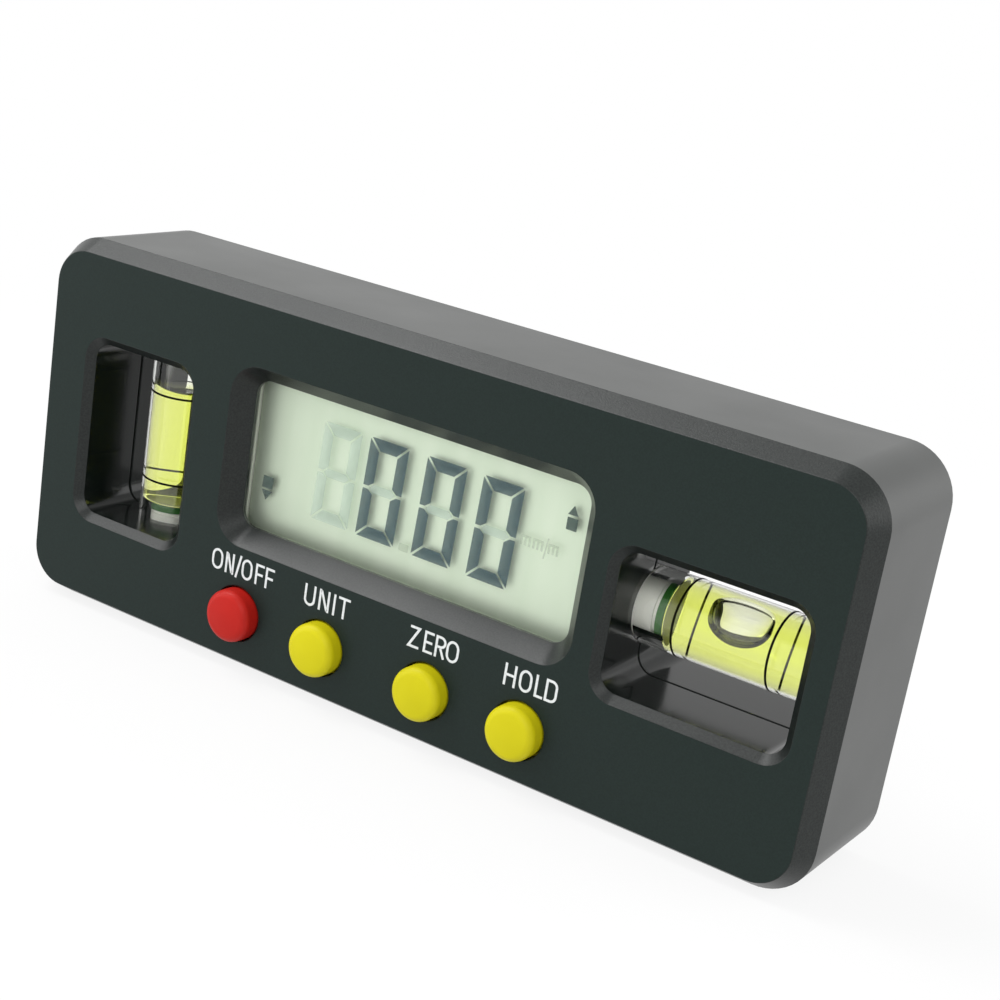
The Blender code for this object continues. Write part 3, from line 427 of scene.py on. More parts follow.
def digit(start, lit):
    """The segments of one seven-segment figure, as outlines. lit names those wanted."""
    wide, tall, bar, gap = DIGIT_WIDTH, DIGIT_HEIGHT, SEGMENT, SEGMENT_GAP
    middle, half = tall / 2, bar / 2
    top = [(gap, tall), (wide - gap, tall), (wide - bar - gap, tall - bar), (bar + gap, tall - bar)]
    left = [
        (0, tall - gap),
        (bar, tall - bar - gap),
        (bar, middle + half),
        (half, middle + gap),
        (0, middle + gap),
    ]
    shapes = {
        "top": top,
        "upper left": left,
        "upper right": [(wide - x, z) for x, z in left],
        "lower left": [(x, tall - z) for x, z in left],
        "lower right": [(wide - x, tall - z) for x, z in left],
        "bottom": [(x, tall - z) for x, z in top],
        "middle": [
            (half + gap, middle),
            (bar, middle + half - gap),
            (wide - bar, middle + half - gap),
            (wide - half - gap, middle),
            (wide - bar, middle - half + gap),
            (bar, middle - half + gap),
        ],
    }
    wanted = [outline for name, outline in shapes.items() if name in lit]
    return [[(start + x + z * DIGIT_SLANT, DIGIT_FOOT + z) for x, z in outline] for outline in wanted]


RIM = ("top", "upper left", "upper right", "lower left", "lower right", "bottom")
ALL = (*RIM, "middle")


def see_through(name, code, share):
    """A flat film that lets share of the light straight through."""
    material, place = new_material(name)
    cloud = add(material, "TexNoise", {"Vector": place, "Scale": 700.0, "Detail": 2.0})
    paler = [min(1.0, part * 1.12) for part in colour(code)]
    tone = two_tones(material, cloud.outputs["Fac"], colour(code), paler)
    film = add(
        material,
        "BsdfPrincipled",
        {
            "Base Color": tone,
            "Roughness": 0.1,
            "Specular IOR Level": 0.1,
            "Alpha": 1 - share,
        },
    )
    return surface(material, film.outputs["BSDF"])


def reflector_foil():
    # Reflective polariser behind the liquid crystal: pale green-grey foil, a little darker in faint upright
    # streaks.
    material, place = new_material("reflective polariser foil")
    stretched = add(material, "Mapping", {"Vector": place, "Scale": (1.0, 1.0, 0.12)})
    along = stretched.outputs["Vector"]
    streaks = add(material, "TexNoise", {"Vector": along, "Scale": 260.0, "Detail": 3.0})
    tone = two_tones(material, streaks.outputs["Fac"], colour("#d8e4cf"), colour("#e0ead7"))
    shader = add(material, "BsdfPrincipled", {"Base Color": tone, "Roughness": 0.5, "Metallic": 0.8})
    return surface(material, shader.outputs["BSDF"])


shape = bmesh.new()
near, far = loft(shape, GLASS, [(0, REFLECTOR), (0, GLASS_BACK)])
fill(shape, near)
fill(shape, far)
piece("display_cell", shape, reflector_foil(), "case", "display_glass", "display_glass")

shape = bmesh.new()
for start in DIGIT_STARTS:
    for outline in digit(start, RIM):
        prism(shape, outline, SEGMENT_DEPTH, SEGMENT_DEPTH + FILM)
piece("display_figures", shape, see_through("liquid crystal, on", "#3f5860", 0.38), "case", "display_glass")

shape = bmesh.new()
for start in DIGIT_STARTS:
    for outline in digit(start, ("middle",)):
        prism(shape, outline, SEGMENT_DEPTH, SEGMENT_DEPTH + FILM)
for outline in digit(GHOST_START, ALL):
    prism(shape, outline, SEGMENT_DEPTH, SEGMENT_DEPTH + FILM)
crystal = see_through("liquid crystal, off", "#b7cbc2", 0.8)
piece("display_unlit_figures", shape, crystal, "case", "display_glass")

# Small marks beside the figures: the point, a down and an up arrow that say which end is low, and the slope's
# unit, which isn't lit.
POINT = [(-1.84, -3.3), (-0.1, -3.3), (-0.06, -2.1), (-1.8, -2.1)]
DOWN_MARK = (
    [(-29.6, 0.75), (-27.5, 0.75), (-27.6, -1.25), (-29.7, -1.25)],
    [(-29.7, -1.6), (-27.6, -1.6), (-28.7, -3.2)],
)
UP_MARK = (
    [(27.35, 12.8), (28.25, 11.3), (26.45, 11.3)],
    [(26.5, 10.9), (28.3, 10.9), (28.3, 9.0), (26.5, 9.0)],
)
UNIT_STARTS = (19.3, 21.5, 24.15)
UNIT_LETTER = (1.8, 1.6, 0.34)
UNIT_FOOT = 4.4
UNIT_SLASH = [(23.5, 3.4), (23.75, 3.4), (24.15, 6.7), (23.9, 6.7)]
shape = bmesh.new()
for outline in (*DOWN_MARK, *UP_MARK):
    prism(shape, outline, SEGMENT_DEPTH, SEGMENT_DEPTH + FILM)
crystal = see_through("liquid crystal, part on", "#4b5d58", 0.25)
piece("display_marks", shape, crystal, "case", "display_glass")

shape = bmesh.new()
for start in UNIT_STARTS:
    wide, tall, bar = UNIT_LETTER
    comb = [(0, 0), (0, tall), (wide, tall), (wide, 0)]
    for leg in (wide, wide / 2 + bar / 2):
        inner = leg - wide / 2 + bar / 2
        comb += [(leg - bar, 0), (leg - bar, tall - bar), (inner, tall - bar), (inner, 0)]
    prism(shape, [(start + x, UNIT_FOOT + z) for x, z in comb], SEGMENT_DEPTH, SEGMENT_DEPTH + FILM)
for outline in (POINT, UNIT_SLASH):
    prism(shape, outline, SEGMENT_DEPTH, SEGMENT_DEPTH + FILM)
crystal = see_through("liquid crystal, resting", "#a3b09a", 0.8)
piece("display_unit_mark", shape, crystal, "case", "display_glass")


def clear_cover():
    # Cast acrylic sheet: clear and flat, seen only by the soft light it mirrors, which grows as it is looked
    # at more nearly edge on, and is the same on both of its faces.
    material, _ = new_material("clear acrylic sheet")
    mirror = add(material, "BsdfGlossy", {"Roughness": 0.12})
    straight = add(material, "BsdfTransparent", {"Color": colour("#fdfefd")})
    turn = add(material, "LayerWeight", {"Blend": 0.5})
    steep = add(material, "Math", {0: turn.outputs["Facing"], 1: 5.0}, operation="POWER")
    mirrored = add(material, "MapRange", {"Value": steep.outputs["Value"], "To Min": 0.02, "To Max": 0.6})
    both = add(material, "MixShader", {"Fac": mirrored.outputs["Result"]})
    material.node_tree.links.new(straight.outputs["BSDF"], both.inputs[1])
    material.node_tree.links.new(mirror.outputs["BSDF"], both.inputs[2])
    return surface(material, both.outputs["Shader"])


shape = bmesh.new()
near, far = loft(shape, COVER_GLASS, [(0, WINDOW_FRONT), (0, WINDOW_BACK)])
fill(shape, near)
fill(shape, far)
piece("display_cover", shape, clear_cover(), "case", "clear_acrylic", "display_window")

# Legends: the buttons' names, printed in white ink on the face above each button. Each letter is drawn with
# one pen, its strokes laid side by side and never over each other.
LETTER_HEIGHT = 3.5
LETTER_FOOT = -15.2
PEN = 0.4
OVAL = 1.15
BOW_STEPS = 10
LEAST_MITRE = 0.35
INK = 0.02
WORDS = (
    ("O", -33.6, 2.3), ("N", -30.75, 1.8), ("/", -28.62, 1.2), ("O", -27.3, 2.2), ("F", -24.45, 1.75),
    ("F", -22.35, 1.75), ("U", -14.3, 2.2), ("N", -11.4, 2.1), ("I", -8.6, 0.5), ("T", -7.6, 2.3),
    ("Z", 6.1, 2.1), ("E", 9.0, 1.75), ("R", 11.1, 1.95), ("O", 13.15, 2.3), ("H", 23.7, 2.1),
    ("O", 26.35, 2.25), ("L", 29.15, 1.5), ("D", 30.9, 2.1),
)  # fmt: skip


def bow(x, z, wide, tall, start, end):
    """Points along part of an ellipse, from one angle in degrees to another."""
    angles = [math.radians(start + (end - start) * step / BOW_STEPS) for step in range(BOW_STEPS + 1)]
    return [(x + wide * math.cos(angle), z + tall * math.sin(angle)) for angle in angles]


def pen_strokes(letter, wide):
    """The letter's pen paths, in a box that is wide across and LETTER_HEIGHT tall, drawn inside its edges."""
    half = PEN / 2
    low, high, left, right = half, LETTER_HEIGHT - half, half, wide - half
    middle = LETTER_HEIGHT / 2
    belly = (right - left) / 2
    centre = wide / 2
    if letter == "O":
        arch = belly * OVAL
        sides = bow(centre, high - arch, belly, arch, 0, 180)
        sides += bow(centre, low + arch, belly, arch, 180, 360)
        return [sides + sides[:1]]
    if letter == "U":
        curve = bow(centre, low + belly, belly, belly, 180, 360)
        return [[(left, LETTER_HEIGHT), *curve, (right, LETTER_HEIGHT)]]
    if letter == "D":
        curve = bow(right - belly, high - belly, belly, belly, 90, 0)
        curve += bow(right - belly, low + belly, belly, belly, 0, -90)
        return [[(left, low), (left, high), *curve, (left, low)]]
    if letter == "R":
        bowl = (high - middle) / 2
        curve = bow(right - bowl, high - bowl, bowl, bowl, 90, -90)
        return [
            [(left, 0), (left, LETTER_HEIGHT)],
            [(left + half, high), *curve, (left + half, middle)],
            [(centre, middle - half), (right, 0)],
        ]
    paths = {
        "N": [
            [(left, 0), (left, LETTER_HEIGHT)],
            [(left + half, high), (right - half, low)],
            [(right, 0), (right, LETTER_HEIGHT)],
        ],
        "/": [[(left, -half), (right, LETTER_HEIGHT + half)]],
        "F": [
            [(left, 0), (left, LETTER_HEIGHT)],
            [(left + half, high), (wide, high)],
            [(left + half, middle), (wide - half, middle)],
        ],
        "I": [[(centre, 0), (centre, LETTER_HEIGHT)]],
        "T": [[(0, high), (wide, high)], [(centre, 0), (centre, high - half)]],
        "Z": [[(half, high), (right, high), (left, low), (wide, low)]],
        "E": [
            [(left, 0), (left, LETTER_HEIGHT)],
            [(left + half, high), (wide, high)],
            [(left + half, middle), (wide - half, middle)],
            [(left + half, low), (wide, low)],
        ],
        "H": [
            [(left, 0), (left, LETTER_HEIGHT)],
            [(right, 0), (right, LETTER_HEIGHT)],
            [(left + half, middle), (right - half, middle)],
        ],
        "L": [[(left, LETTER_HEIGHT), (left, low), (wide, low)]],
    }
    return paths[letter]


def ribbon(shape, path, x, z):
    """A flat stroke of the pen's width along a path, with mitred turns."""
    points = [Vector(point) for point in path]
    closed = (points[0] - points[-1]).length < 1e-6
    if closed:
        points = points[:-1]
    count = len(points)
    sides = []
    for index, point in enumerate(points):
        before = points[index - 1] if closed or index else None
        after = points[(index + 1) % count] if closed or index < count - 1 else None
        ahead = (after - point).normalized() if after is not None else (point - before).normalized()
        back = (point - before).normalized() if before is not None else ahead
        across = Vector((-back.y - ahead.y, back.x + ahead.x)).normalized()
        reach = PEN / 2 / max(across.dot(Vector((-ahead.y, ahead.x))), LEAST_MITRE)
        sides.append((point + across * reach, point - across * reach))
    steps = range(count) if closed else range(1, count)
    for index in steps:
        outline = [sides[index - 1][0], sides[index - 1][1], sides[index][1], sides[index][0]]
        prism(shape, [(x + corner.x, z + corner.y) for corner in outline], -INK, INK)


def white_ink():
    # Screen ink: matt off-white, a little uneven where the mesh left it thin.
    material, place = new_material("white screen ink")
    mesh_marks = add(material, "TexNoise", {"Vector": place, "Scale": 3000.0, "Detail": 2.0})
    tone = two_tones(material, mesh_marks.outputs["Fac"], colour("#c6caca"), colour("#d9dcdd"), (0.25, 0.6))
    shader = add(material, "BsdfPrincipled", {"Base Color": tone, "Roughness": 0.6})
    return surface(material, shader.outputs["BSDF"])


shape = bmesh.new()
for letter, x, wide in WORDS:
    for path in pen_strokes(letter, wide):
        ribbon(shape, path, x, LETTER_FOOT)
piece("button_legends", shape, white_ink(), "case", "white_plastic")

# Buttons: four caps of dyed ABS, domed and round-shouldered, each with a flange behind the face and a stem
# that presses its switch.
CAP_RADIUS = 4.35
CAP_PROUD = 3.2
CAP_EDGE = 1.4
CAP_DOME = 0.25
FLANGE = 5.05
FLANGE_FRONT = 2.7
FLANGE_BACK = 3.7
STEM = 2.0
STEM_END = 4.6
CROWN_STEPS = 6
SHOULDER_STEPS = 8
ROUND_STEPS = 72


def turned(shape, profile, place, axis):
    """A closed solid of revolution, from (radius, distance along the axis) points. All are in mm."""
    centre = Vector(place) * MM + Vector((0, FACE, MIDDLE))
    along = Vector(axis)
    across = along.orthogonal().normalized()
    other = along.cross(across)
    rings = []
    for radius, distance in profile:
        start = centre + along * distance * MM
        if radius == 0:
            rings.append([shape.verts.new(start)])
            continue
        angles = [2 * math.pi * step / ROUND_STEPS for step in range(ROUND_STEPS)]
        spokes = [across * math.cos(angle) + other * math.sin(angle) for angle in angles]
        rings.append([shape.verts.new(start + spoke * radius * MM) for spoke in spokes])
    for near, far in zip(rings, rings[1:]):
        for index in range(ROUND_STEPS):
            if len(near) == 1:
                shape.faces.new((near[0], far[index - 1], far[index]))
            elif len(far) == 1:
                shape.faces.new((near[index - 1], near[index], far[0]))
            else:
                shape.faces.new((near[index - 1], near[index], far[index], far[index - 1]))


def dyed_plastic(name, code, dark, specular=0.15):
    # Dyed plastic: full colour, silky, with very fine marks and a slightly deeper tone in places.
    material, place = new_material(name)
    tint = add(material, "TexNoise", {"Vector": place, "Scale": 120.0, "Detail": 2.0})
    tone = two_tones(material, tint.outputs["Fac"], colour(dark), colour(code))
    marks = add(material, "TexNoise", {"Vector": place, "Scale": 2500.0, "Detail": 2.0})
    relief = add(material, "Bump", {"Height": marks.outputs["Fac"], "Strength": 0.06, "Distance": 0.05 * MM})
    shader = add(
        material,
        "BsdfPrincipled",
        {
            "Base Color": tone,
            "Roughness": 0.42,
            "Specular IOR Level": specular,
            "Normal": relief.outputs["Normal"],
        },
    )
    return surface(material, shader.outputs["BSDF"])


RED_ABS = dyed_plastic("red dyed ABS", "#b62018", "#ad1d16")
YELLOW_ABS = dyed_plastic("yellow dyed ABS", "#c8bf10", "#c1b80e")
flat = CAP_RADIUS - CAP_EDGE
crown = []
for step in range(CROWN_STEPS + 1):
    crown.append((flat * step / CROWN_STEPS, -CAP_PROUD + CAP_DOME * (step / CROWN_STEPS) ** 2))
shoulder = []
for step in range(1, SHOULDER_STEPS + 1):
    turn = math.radians(90 * step / SHOULDER_STEPS)
    drop = CAP_DOME + CAP_EDGE * (1 - math.cos(turn))
    shoulder.append((flat + CAP_EDGE * math.sin(turn), -CAP_PROUD + drop))
behind = [
    (CAP_RADIUS, FLANGE_FRONT),
    (FLANGE, FLANGE_FRONT),
    (FLANGE, FLANGE_BACK),
    (STEM, FLANGE_BACK),
    (STEM, STEM_END),
    (0, STEM_END),
]
for name, x in BUTTON_PLACES.items():
    shape = bmesh.new()
    turned(shape, crown + shoulder + behind, (x, 0, BUTTON_Z), (0, 1, 0))
    plastic, slot = (RED_ABS, "red_plastic") if name == "on_off" else (YELLOW_ABS, "yellow_plastic")
    piece(f"{name}_cap", shape, plastic, f"{name}_key", slot, f"{name}_button")

# Vials: a clear acrylic tube, bored from one end, filled with dyed spirit and closed with a white plug. In
# front of the plug a dark green ring stands where shade is refracted at the plug's end: painted shade. The
# spirit lies against the bore, so its skin is drawn just outside it. Two black rings mark the middle.
VIAL_RADIUS = 6.0
VIAL_EDGE = 0.4
BORE = 3.95
BARREL = 0.12
BORE_STEPS = 10
HALF_VIAL = 17.15
CLOSED_END = 13.55
CONTACT = 0.03
RING_PLACE = 7.55
RING_WIDTH = 0.36
RING_SKINS = (-0.02, 0.04)
PLUG_ENDS = {"vertical": -13.6, "horizontal": -11.6}
SHADE_RING_GAP = 0.6
SHADE_RING_WIDTH = 1.3
SHADE_RING_WALL = 0.3
SHADE_RING_PLAY = 0.05
SHADE_RING_LIP = 0.2
PLUG_SINK = 0.3
AIR_LINE = 7.6
MENISCUS = 0.9
BUBBLE = (4.95, 3.6, 2.6)
BUBBLE_PLACE = (0.65, 1.4)
BUBBLE_FLAT = 0.4
BUBBLE_FILM = 0.06


def glass_like(name, code, index):
    # A clear solid of one refractive index with very faint waves in it. The dye in the spirit takes the blue
    # out of what passes, so it is palest where it is thin.
    material, place = new_material(name)
    haze = add(material, "TexNoise", {"Vector": place, "Scale": 300.0, "Detail": 1.0})
    relief = add(material, "Bump", {"Height": haze.outputs["Fac"], "Strength": 0.02, "Distance": 0.02 * MM})
    shader = add(
        material,
        "BsdfPrincipled",
        {
            "Base Color": colour(code),
            "Roughness": 0.0,
            "IOR": index,
            "Transmission Weight": 1.0,
            "Normal": relief.outputs["Normal"],
        },
    )
    return surface(material, shader.outputs["BSDF"])


ACRYLIC = glass_like("clear acrylic", "#fdfefb", 1.45)
SPIRIT = glass_like("dyed spirit", "#ffffff", 1.36)
dye = add(SPIRIT, "VolumeAbsorption", {"Color": colour("#f3f82c"), "Density": 220.0})
SPIRIT.node_tree.links.new(dye.outputs["Volume"], SPIRIT.node_tree.nodes["Material Output"].inputs["Volume"])
PLUG_WHITE = dyed_plastic("white polyethylene", "#fafaf4", "#f2f3ea")
RING_BLACK = dyed_plastic("black ring ink", "#12130c", "#0e0f09", 0.05)
# The dark green ring at the plug's end stands in for the shade refracted there: painted shade.
SHADE_RING_GREEN = dyed_plastic("dark green ring, painted shade", "#3f7d33", "#2e6629")


def bore_line(start, end, gap=0.0):
    """Points along the bore, which is widest at the vial's middle so that the bubble comes to rest there."""
    places = [start + (end - start) * step / BORE_STEPS for step in range(BORE_STEPS + 1)]
    return [(BORE + gap + BARREL * (1 - (place / HALF_VIAL) ** 2), place) for place in places]


for name, window, axis in (("vertical", UPRIGHT_WINDOW, (0, 0, 1)), ("horizontal", LEVEL_WINDOW, (1, 0, 0))):
    place = (window[0], PARTING, 0)
    plug = PLUG_ENDS[name]
    shade_ring = plug + SHADE_RING_GAP
    foot = shade_ring + SHADE_RING_WIDTH
    tube = [
        (0, HALF_VIAL),
        (VIAL_RADIUS - VIAL_EDGE, HALF_VIAL),
        (VIAL_RADIUS, HALF_VIAL - VIAL_EDGE),
        (VIAL_RADIUS, -HALF_VIAL + VIAL_EDGE),
        (VIAL_RADIUS - VIAL_EDGE, -HALF_VIAL),
        (BORE, -HALF_VIAL),
        *bore_line(plug, CLOSED_END),
        (0, CLOSED_END),
    ]
    shape = bmesh.new()
    turned(shape, tube, place, axis)
    piece(f"{name}_tube", shape, ACRYLIC, "case", "clear_acrylic", f"{name}_vial")

    shape = bmesh.new()
    if name == "vertical":
        # The spirit stands below the air and climbs the wall a little.
        skin = bore_line(foot, AIR_LINE + MENISCUS, CONTACT)
        lip = skin[-1][0]
        dish = [(lip * share, AIR_LINE + MENISCUS * share**4) for share in (0.97, 0.9, 0.75, 0.5, 0.25, 0)]
        turned(shape, [(0, foot - CONTACT), *skin, *dish], place, axis)
        hollow = ()
    else:
        # The bubble is a hollow under the top of the bore, which flattens it above.
        skin = bore_line(foot, CLOSED_END, CONTACT)
        turned(shape, [(0, foot - CONTACT), *skin, (0, CLOSED_END)], place, axis)
        filled = set(shape.faces)
        middle = (window[0] + BUBBLE_PLACE[0], PARTING, BUBBLE_PLACE[1])
        for corner in bmesh.ops.create_uvsphere(shape, u_segments=64, v_segments=64, radius=1.0)["verts"]:
            x, y, z = corner.co
            share = math.sqrt(max(1 - x * x, 1e-9))
            y *= BUBBLE[1]
            if z > 0:
                room = math.sqrt((BORE - BUBBLE_FILM) ** 2 - y * y) - BUBBLE_PLACE[1]
                z = (z / share) * share**BUBBLE_FLAT * room
            else:
                z *= BUBBLE[2]
            corner.co = Vector((middle[0] + x * BUBBLE[0], middle[1] + y, middle[2] + z)) * MM
            corner.co += Vector((0, FACE, MIDDLE))
        hollow = [face for face in shape.faces if face not in filled]
    piece(f"{name}_spirit", shape, SPIRIT, "case", "vial_liquid", f"{name}_liquid", sharp=60, hollow=hollow)

    nose = BORE - SHADE_RING_WALL - SHADE_RING_PLAY
    stopper = [
        (0, foot + CONTACT),
        (nose, foot + CONTACT),
        (nose, plug),
        (BORE + CONTACT, plug),
        (BORE + CONTACT, -HALF_VIAL + PLUG_SINK),
        (0, -HALF_VIAL + PLUG_SINK),
    ]
    shape = bmesh.new()
    turned(shape, stopper, place, axis)
    piece(f"{name}_stopper", shape, PLUG_WHITE, "case", "white_plastic", f"{name}_plug")

    # The dark green ring in front of the plug: painted shade.
    shape = bmesh.new()
    lining, skin, lip = BORE - SHADE_RING_WALL, BORE + CONTACT, foot - SHADE_RING_LIP
    turned(shape, [(lining, shade_ring), (skin, shade_ring), (skin, lip), (lining, lip), (lining, shade_ring)], place, axis)
    piece(f"{name}_seal", shape, SHADE_RING_GREEN, "case", "black_plastic")

    shape = bmesh.new()
    for side in (-1, 1):
        start, end = side * RING_PLACE - RING_WIDTH / 2, side * RING_PLACE + RING_WIDTH / 2
        inner, outer = (VIAL_RADIUS + skin for skin in RING_SKINS)
        band = [(inner, start), (outer, start), (outer, end), (inner, end), (inner, start)]
        turned(shape, band, place, axis)
    piece(f"{name}_rings", shape, RING_BLACK, "case", "black_plastic")

# Screws: pan-headed self-tapping screws of zinc-plated steel with a cross recess. Four hold the back cover
# and four smaller ones the board.
SCREW_SIZES = ("Head Radius", "Head Height", "Shank Radius", "Shank Length")
HEAD_STEPS = 40
RECESS_SHARE = (1.15, 0.26, 0.9)


def screw_tree():
    """Nodes that stand one screw, head towards the back, on every point of a mesh."""
    tree = bpy.data.node_groups.new("cross-recess screws", "GeometryNodeTree")
    tree.interface.new_socket("Places", in_out="INPUT", socket_type="NodeSocketGeometry")
    for name in SCREW_SIZES:
        tree.interface.new_socket(name, in_out="INPUT", socket_type="NodeSocketFloat")
    tree.interface.new_socket("Steel", in_out="INPUT", socket_type="NodeSocketMaterial")
    tree.interface.new_socket("Screws", in_out="OUTPUT", socket_type="NodeSocketGeometry")

    def put(kind, sockets=(), **settings):
        node = tree.nodes.new(kind)
        for name, value in settings.items():
            setattr(node, name, value)
        for name, value in dict(sockets).items():
            for each in value if isinstance(value, list) else [value]:
                if isinstance(each, bpy.types.NodeSocket):
                    tree.links.new(each, node.inputs[name])
                else:
                    node.inputs[name].default_value = each
        return node

    def work(operation, first, second=0.0):
        return put("ShaderNodeMath", {0: first, 1: second}, operation=operation).outputs[0]

    given = put("NodeGroupInput").outputs
    radius, height, shank, length = (given[name] for name in SCREW_SIZES)
    head = put(
        "GeometryNodeMeshCylinder",
        {"Vertices": HEAD_STEPS, "Side Segments": 8, "Radius": radius, "Depth": height},
    )
    place = put("GeometryNodeInputPosition").outputs[0]
    level = put("ShaderNodeSeparateXYZ", {0: place}).outputs["Z"]
    rise = work("POWER", work("ADD", work("DIVIDE", level, height), 0.5), 3.0)
    draw_in = work("SUBTRACT", 1.0, work("MULTIPLY", rise, 0.3))
    shrink = put("ShaderNodeCombineXYZ", {"X": draw_in, "Y": draw_in, "Z": 1.0})
    domed = put("ShaderNodeVectorMath", {0: place, 1: shrink.outputs[0]}, operation="MULTIPLY")
    dome = put("GeometryNodeSetPosition", {"Geometry": head.outputs["Mesh"], "Position": domed.outputs[0]})
    wings = []
    for long, thin in ((0, 1), (1, 0)):
        size = put(
            "ShaderNodeCombineXYZ",
            {
                "X": work("MULTIPLY", radius, RECESS_SHARE[long]),
                "Y": work("MULTIPLY", radius, RECESS_SHARE[thin]),
                "Z": work("MULTIPLY", height, RECESS_SHARE[2]),
            },
        )
        wing = put("GeometryNodeMeshCube", {"Size": size.outputs[0]})
        lift = put("ShaderNodeCombineXYZ", {"Z": work("MULTIPLY", height, 0.5)})
        moved = put("GeometryNodeSetPosition", {"Geometry": wing.outputs["Mesh"], "Offset": lift.outputs[0]})
        wings.append(moved.outputs[0])
    cut = put("GeometryNodeMeshBoolean", {"Mesh 1": dome.outputs[0], "Mesh 2": wings}, operation="DIFFERENCE")
    rod = put("GeometryNodeMeshCylinder", {"Vertices": HEAD_STEPS, "Radius": shank, "Depth": length})
    drop = work("MULTIPLY", work("ADD", length, work("MULTIPLY", height, 0.9)), -0.5)
    down = put("ShaderNodeCombineXYZ", {"Z": drop})
    rod = put("GeometryNodeSetPosition", {"Geometry": rod.outputs["Mesh"], "Offset": down.outputs[0]})
    whole = put("GeometryNodeJoinGeometry", {"Geometry": [rod.outputs[0], cut.outputs[0]]})
    stood = put(
        "GeometryNodeInstanceOnPoints",
        {"Points": given["Places"], "Instance": whole.outputs[0], "Rotation": (-math.pi / 2, 0, 0)},
    )
    real = put("GeometryNodeRealizeInstances", {"Geometry": stood.outputs[0]})
    plated = put("GeometryNodeSetMaterial", {"Geometry": real.outputs[0], "Material": given["Steel"]})
    put("NodeGroupOutput", {"Screws": plated.outputs[0]})
    return tree


def plain_finish(name, code, dark, roughness, metallic=0.0, scale=400.0):
    # One plain finish: two near tones in fine cloud.
    material, place = new_material(name)
    noise = add(material, "TexNoise", {"Vector": place, "Scale": scale, "Detail": 3.0})
    tone = two_tones(material, noise.outputs["Fac"], colour(dark), colour(code), (0.0, 1.0))
    look = {"Base Color": tone, "Roughness": roughness, "Metallic": metallic}
    shader = add(material, "BsdfPrincipled", look)
    return surface(material, shader.outputs["BSDF"])


ZINC = plain_finish("zinc-plated steel", "#b9b9b6", "#9c9c99", 0.35, 1.0, scale=900.0)
SCREW_TREE = screw_tree()
for kind, sizes in (("case", (2.6, 1.7, 1.25, 13.0)), ("board", (1.9, 1.2, 0.9, 6.2))):
    screws = [f"{kind}_screw_{number}" for number in range(1, 5)]
    middles = []
    for low, high in map(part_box, screws):
        middles.append(((low.x + high.x) / 2, high.y - sizes[1] * MM / 2, (low.z + high.z) / 2))
    points = bpy.data.meshes.new("screw places")
    points.from_pydata(middles, [], [])
    holder = bpy.data.objects.new("screw places", points)
    bpy.context.scene.collection.objects.link(holder)
    stand = holder.modifiers.new("screws", "NODES")
    stand.node_group = SCREW_TREE
    values = {name: size * MM for name, size in zip(SCREW_SIZES, sizes)}
    values["Steel"] = ZINC
    for socket in SCREW_TREE.interface.items_tree:
        if socket.name in values:
            stand[socket.identifier] = values[socket.name]
    ready = holder.evaluated_get(bpy.context.evaluated_depsgraph_get())
    mesh = bpy.data.meshes.new_from_object(ready)
    mesh.shade_smooth()
    mesh.set_sharp_from_angle(angle=math.radians(35))
    bpy.data.objects.remove(holder)
    made = bpy.data.objects.new(f"{kind}_screws", mesh)
    bpy.context.scene.collection.objects.link(made)
    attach(made, "case")
    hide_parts(*screws)

# Battery cover: a lid of the same ABS on two stub pins, with a snap tongue in its lower edge. The solid has
# all its parts, and its edges are rounded here as moulding leaves them. Five grooves give the thumb a grip.
COVER_EDGE = 0.25
GROOVES = 5
GROOVE = (9.0, 0.7, 0.35)
GROOVE_DEPTH = 0.5
GROOVE_FOOT = -5.0
GROOVE_PITCH = 1.4
shape = bmesh.new()
shape.from_mesh(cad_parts["battery_cover"].data)
bmesh.ops.remove_doubles(shape, verts=shape.verts, dist=1e-6)
bmesh.ops.dissolve_limit(shape, angle_limit=math.radians(1), verts=shape.verts, edges=shape.edges)
sharp = [edge for edge in shape.edges if edge.is_manifold and edge.calc_face_angle() > math.radians(50)]
bmesh.ops.bevel(
    shape, geom=sharp, offset=COVER_EDGE * MM, segments=3, profile=0.5, affect="EDGES", clamp_overlap=True
)
skin = max((face for face in shape.faces if face.normal.y > 0.99), key=lambda face: face.calc_area())
rim = list(skin.verts)
bmesh.ops.delete(shape, geom=[skin], context="FACES_ONLY")
mouths = []
groove_floor = DEPTH - GROOVE_DEPTH
trough = soften([(-0.2, DEPTH), (0, DEPTH), (0, groove_floor), (0.25, groove_floor)], 0.15)
for number in range(GROOVES):
    mouth, bottom = loft(shape, (0, GROOVE_FOOT + number * GROOVE_PITCH, *GROOVE), trough)
    fill(shape, bottom)
    mouths.append(mouth)
fill(shape, rim, *mouths)
piece("battery_lid", shape, BLACK_ABS, "battery_door", "case_plastic", "battery_cover")

# Cells: two in plain printed jackets. They are the solids' own shapes, shaded round.
JACKET = plain_finish("printed steel jacket", "#3c4650", "#313a43", 0.3, 0.6)
for name in ("upper_cell", "lower_cell"):
    shape = bmesh.new()
    shape.from_mesh(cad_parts[name].data)
    bmesh.ops.remove_doubles(shape, verts=shape.verts, dist=1e-6)
    piece(f"{name}_body", shape, JACKET, "case", "cell_jacket", name)

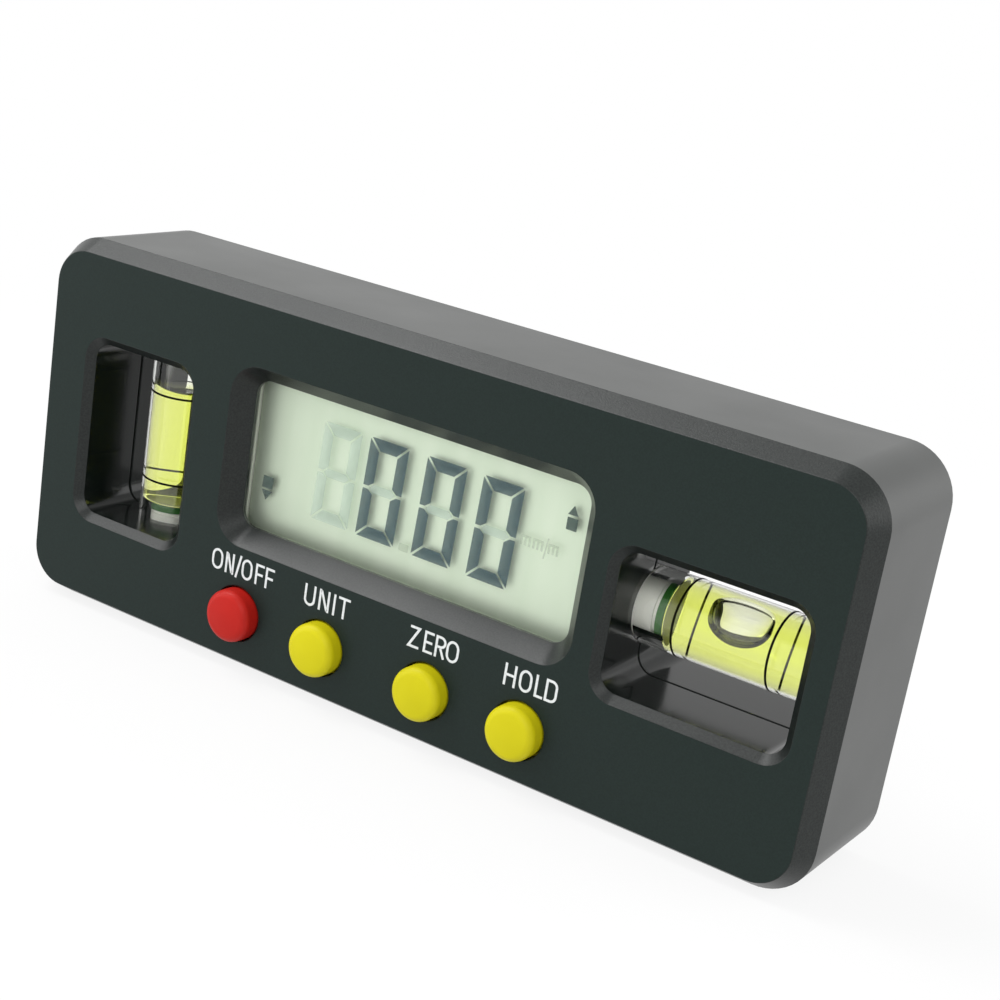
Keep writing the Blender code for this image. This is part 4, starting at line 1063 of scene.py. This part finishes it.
# Inside: the board, its chips, the switches, contacts and magnets stay as the CAD made them, each in its own
# material. Little of it shows, mostly through the cell bay when its cover is open.
INSIDE = {
    plain_finish("green board laminate", "#1f6b3a", "#17552d", 0.45): ("circuit_board",),
    plain_finish("black epoxy", "#1c1c1d", "#141415", 0.4): (
        "controller_chip", "on_off_plunger", "unit_plunger", "zero_plunger", "hold_plunger",
    ),
    plain_finish("sensor lid", "#3c3c40", "#303034", 0.35, 0.5): ("tilt_sensor",),
    plain_finish("white moulded frame", "#dfe0d8", "#d5d6cd", 0.5): ("display_holder",),
    plain_finish("layered connector rubber", "#a9a39b", "#7d776f", 0.7, scale=2500.0): (
        "upper_connector_strip", "lower_connector_strip",
    ),
    plain_finish("nickel-plated spring steel", "#c9c8c2", "#b3b2ab", 0.25, 1.0): (
        "upper_spring", "lower_spring", "positive_contact", "negative_contact", "bridge_contact",
        "on_off_switch", "unit_switch", "zero_switch", "hold_switch",
    ),
    plain_finish("nickel-plated magnet", "#cfcdc8", "#bdbbb5", 0.2, 1.0): ("left_magnet", "right_magnet"),
}  # fmt: skip
for material, names in INSIDE.items():
    for name in names:
        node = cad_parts[name]
        node.data.materials.clear()
        node.data.materials.append(material)

# Studio: a pale floor and background, and four soft lamps: one from the left in front, one overhead to the
# left, which the slopes mirror, one behind the right end, and one in front on the right that lights the
# windows' inside. The floor runs out to the white of the background.
FLOOR_SIZE = 8.0
FLOOR_DROP = 0.0002
FLOOR_GLOW = 0.86
ROOM_LEVEL = 0.75
SHADOW_REACH = (0.12, 0.3)
LAMPS = (
    ("key", (-1.05, -0.6, 0.55), 1.2, 6.0),
    ("overhead", (-0.5, -0.1, 0.85), 0.6, 5.5),
    ("side", (1.0, 0.62, 0.5), 1.2, 7.5),
    ("fill", (0.45, -0.95, 0.74), 0.9, 4.5),
)
bpy.ops.mesh.primitive_plane_add(size=FLOOR_SIZE)
floor = bpy.context.object
floor.name = "floor"
floor.location.z = -FLOOR_DROP
pale, place = new_material("pale floor")
cloth = add(pale, "BsdfDiffuse", {"Color": colour("#dcdcdc")})
glow = add(pale, "Emission", {"Color": (1, 1, 1, 1), "Strength": 1.0})
out = add(pale, "VectorMath", {0: place}, operation="LENGTH")
far = add(
    pale,
    "MapRange",
    {
        "Value": out.outputs["Value"],
        "From Min": SHADOW_REACH[0],
        "From Max": SHADOW_REACH[1],
        "To Min": FLOOR_GLOW,
        "To Max": 1.0,
    },
    interpolation_type="SMOOTHSTEP",
)


def seen_directly(owner):
    """One where the camera, a mirror or a clear piece looks at the background, nought for scattered light."""
    ray = add(owner, "LightPath")
    seen = ray.outputs["Is Camera Ray"]
    for kind in ("Is Glossy Ray", "Is Transmission Ray"):
        seen = add(owner, "Math", {0: seen, 1: ray.outputs[kind]}, operation="MAXIMUM").outputs["Value"]
    return seen


share = add(pale, "Math", {0: seen_directly(pale), 1: far.outputs["Result"]}, operation="MULTIPLY")
both = add(pale, "MixShader", {"Fac": share.outputs["Value"]})
pale.node_tree.links.new(cloth.outputs["BSDF"], both.inputs[1])
pale.node_tree.links.new(glow.outputs["Emission"], both.inputs[2])
surface(pale, both.outputs["Shader"])
floor.data.materials.append(pale)
for name, spot, size, power in LAMPS:
    lamp = bpy.data.lights.new(name, "AREA")
    lamp.shape = "DISK"
    lamp.size = size
    lamp.energy = power
    stand = bpy.data.objects.new(name, lamp)
    stand.location = spot
    stand.rotation_euler = (Vector((0, 0, 0.03)) - Vector(spot)).to_track_quat("-Z", "Y").to_euler()
    bpy.context.scene.collection.objects.link(stand)

world = bpy.data.worlds.new("room")
bpy.context.scene.world = world
world.use_nodes = True
world.node_tree.nodes.clear()
level = add(world, "MapRange", {"Value": seen_directly(world), "To Min": ROOM_LEVEL, "To Max": 1.0})
air = add(world, "Background", {"Color": (1, 1, 1, 1), "Strength": level.outputs["Result"]})
end = add(world, "OutputWorld")
world.node_tree.links.new(air.outputs["Background"], end.inputs["Surface"])
bpy.context.scene.view_settings.view_transform = "Standard"
